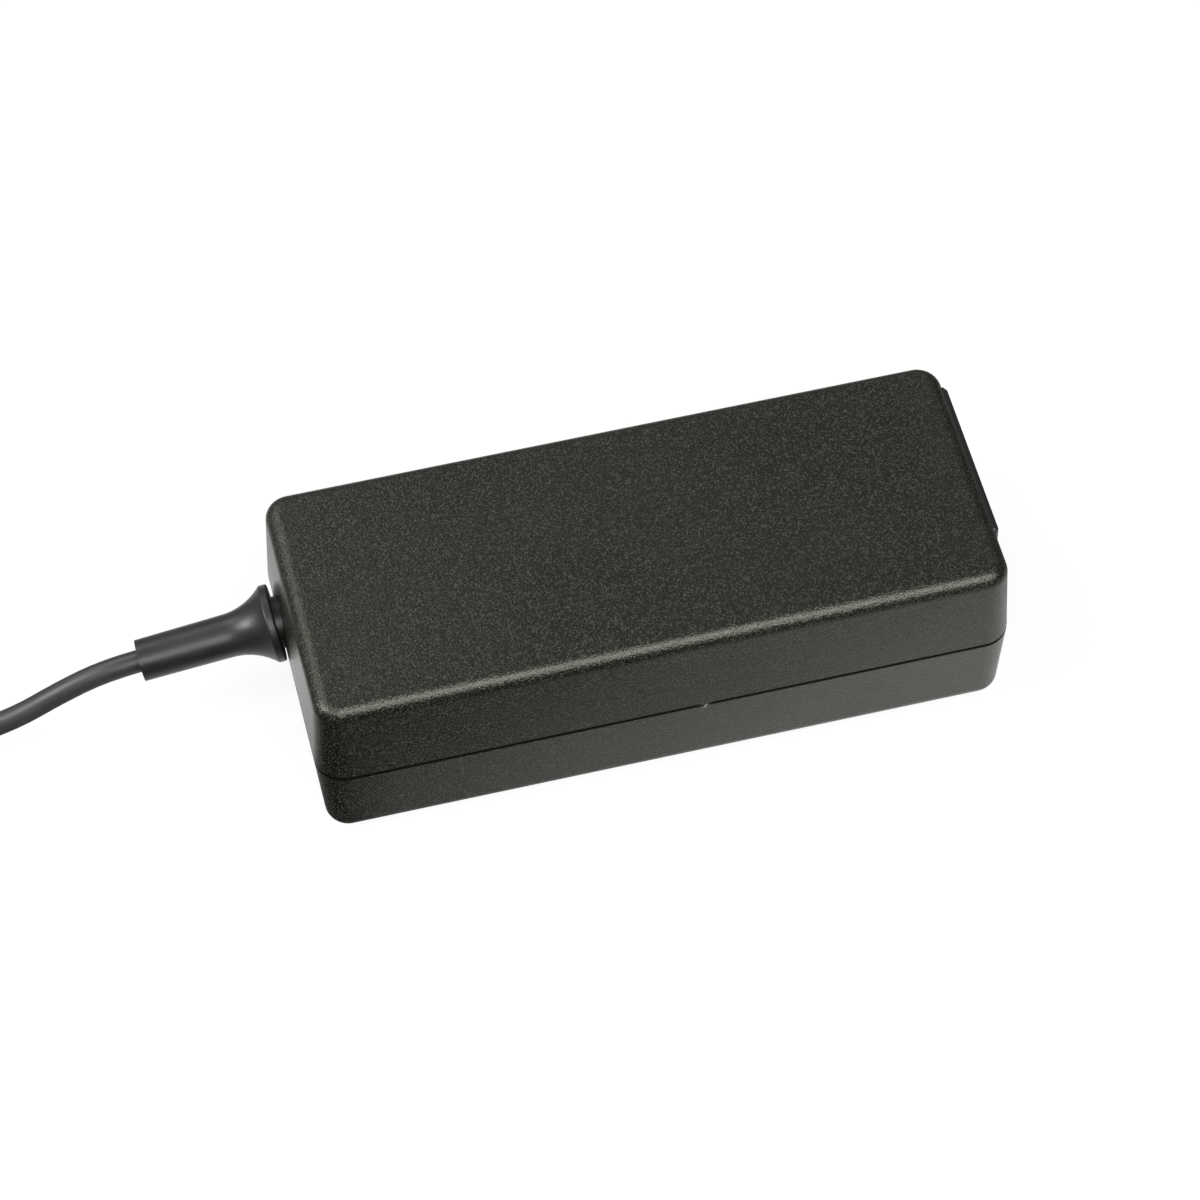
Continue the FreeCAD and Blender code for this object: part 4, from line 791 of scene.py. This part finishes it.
def make_floor(stage):
    """A floor that shows white to the camera and keeps a soft shadow, and that glows to gloss with
    painted light: a slope from dark to bright, a pool of light and painted shades
    """
    mesh = bmesh.new()
    bmesh.ops.create_grid(mesh, x_segments=4, y_segments=4, size=FLOOR_HALF_WIDTH,
                          matrix=Matrix.Translation((0.0, 0.0, -FLOOR_DROP)))
    data = bpy.data.meshes.new("floor")
    mesh.to_mesh(data)
    mesh.free()
    floor = bpy.data.objects.new("floor", data)
    bpy.context.scene.collection.objects.link(floor)
    material, tree, shader = new_material("floor_paper")
    shader.inputs["Base Color"].default_value = (*stage.floor, 1.0)
    shader.inputs["Roughness"].default_value = 0.9
    shader.inputs["Specular IOR Level"].default_value = 0.0
    place = object_place(tree)
    # What gloss sees of the floor is painted light: a dark-to-bright slope, a pool of light and
    # painted shades
    along = vector_maths(tree, "DOT_PRODUCT", {0: place, 1: FLOOR_DIRECTION})
    level = stretch(tree, along, *FLOOR_SLOPE, stage.floor_dark, stage.floor_bright)
    pool = spot(tree, place, *FLOOR_POOL, (stage.floor_pool, 0.0))
    level = maths(tree, "ADD", level, pool)
    for centre, reach, levels in FLOOR_SHADES:
        level = maths(tree, "MULTIPLY", level, spot(tree, place, centre, reach, levels))
    glow = add(tree, "ShaderNodeEmission", {"Color": WHITE, "Strength": level})
    ray = tree.nodes.new("ShaderNodeLightPath").outputs
    gloss = maths(tree, "MAXIMUM", ray["Is Glossy Ray"], ray["Is Transmission Ray"])
    paper = add(tree, "ShaderNodeMixShader", {0: gloss, 1: shader.outputs[0], 2: glow.outputs[0]})
    white = add(tree, "ShaderNodeEmission", {"Color": WHITE, "Strength": 1.0})
    share = maths(tree, "MULTIPLY", ray["Is Camera Ray"], FLOOR_WHITENESS)
    mix = add(tree, "ShaderNodeMixShader", {0: share, 1: paper.outputs[0], 2: white.outputs[0]})
    output = tree.nodes.get("Material Output")
    tree.links.new(mix.outputs[0], output.inputs["Surface"])
    data.materials.append(material)


def make_room(scene, stage):
    """Soft room light, brightest above the back left of the object, and white to the camera"""
    world = bpy.data.worlds.new("studio_room")
    scene.world = world
    world.use_nodes = True
    tree = world.node_tree
    tree.nodes.clear()
    direction = tree.nodes.new("ShaderNodeTexCoord").outputs["Generated"]
    behind = vector_maths(tree, "DOT_PRODUCT", {0: direction, 1: ROOM_DIRECTION})
    room = stretch(tree, behind, *ROOM_SLOPE, stage.camera_side, stage.backdrop)
    seen = tree.nodes.new("ShaderNodeLightPath").outputs["Is Camera Ray"]
    level = maths(tree, "MAXIMUM", room, seen)
    background = add(tree, "ShaderNodeBackground", {"Color": WHITE, "Strength": level})
    output = tree.nodes.new("ShaderNodeOutputWorld")
    tree.links.new(background.outputs[0], output.inputs["Surface"])


def add_softbox(name, place, aim, size, power):
    """A large rectangular lamp turned towards a point"""
    data = bpy.data.lights.new(name, "AREA")
    data.shape = "RECTANGLE"
    data.size, data.size_y = size
    data.energy = power
    lamp = bpy.data.objects.new(name, data)
    bpy.context.scene.collection.objects.link(lamp)
    lamp.location = place
    lamp.rotation_euler = (Vector(aim) - Vector(place)).to_track_quat("-Z", "Y").to_euler()


def make_camera(scene, stage):
    """The camera at the photograph's viewing angle"""
    flat = math.cos(stage.elevation)
    back = Vector((
        math.sin(stage.azimuth) * flat,
        -math.cos(stage.azimuth) * flat,
        math.sin(stage.elevation),
    ))
    data = bpy.data.cameras.new("camera")
    data.sensor_width = SENSOR_WIDTH
    data.lens = stage.lens
    camera = bpy.data.objects.new("camera", data)
    scene.collection.objects.link(camera)
    aim = (-back).to_track_quat("-Z", "Y").to_matrix()
    turned = aim @ Matrix.Rotation(stage.roll, 3, "Z")
    camera.location = Vector(stage.target) + stage.distance * back
    camera.rotation_euler = turned.to_euler()
    scene.camera = camera


# The panel's boxes: title, settings and operators
SECTIONS = (
    ("Case", "adapter_case", ("adapter.case", "adapter.inlet", "adapter.strain_relief",
                              "adapter.board_parts")),
    ("Lead", "adapter_lead", ("adapter.lead",)),
    ("Strap and plug", "adapter_strap", ("adapter.strap", "adapter.plug")),
    ("Stage", "adapter_stage", ("adapter.stage",)),
)


class ADAPTER_PT_panel(bpy.types.Panel):
    """Lists the adapter's steps and settings"""
    bl_label = "Power adapter"
    bl_idname = "ADAPTER_PT_panel"
    bl_space_type = "VIEW_3D"
    bl_region_type = "UI"
    bl_category = "Adapter"

    def draw(self, context):
        for title, settings_name, operators in SECTIONS:
            box = self.layout.box()
            box.label(text=title)
            settings = getattr(context.scene, settings_name)
            for name in settings.__annotations__:
                box.prop(settings, name)
            for name in operators:
                box.operator(name)


SETTINGS = {
    "adapter_case": CaseSettings,
    "adapter_lead": LeadSettings,
    "adapter_strap": StrapSettings,
    "adapter_stage": StageSettings,
}
CLASSES = tuple(SETTINGS.values()) + (
    ADAPTER_OT_case, ADAPTER_OT_inlet, ADAPTER_OT_strain_relief, ADAPTER_OT_board_parts,
    ADAPTER_OT_lead, ADAPTER_OT_strap, ADAPTER_OT_plug, ADAPTER_OT_stage, ADAPTER_PT_panel,
)


def register():
    for kind in CLASSES:
        bpy.utils.register_class(kind)
    for name, kind in SETTINGS.items():
        setattr(bpy.types.Scene, name, PointerProperty(type=kind))


def unregister():
    for name in SETTINGS:
        delattr(bpy.types.Scene, name)
    for kind in reversed(CLASSES):
        bpy.utils.unregister_class(kind)


def main():
    """Runs every step in order"""
    register()
    bpy.ops.adapter.case()
    bpy.ops.adapter.inlet()
    bpy.ops.adapter.strain_relief()
    bpy.ops.adapter.board_parts()
    bpy.ops.adapter.lead()
    bpy.ops.adapter.strap()
    bpy.ops.adapter.plug()
    bpy.ops.adapter.stage()


if __name__ == "__main__":
    main()
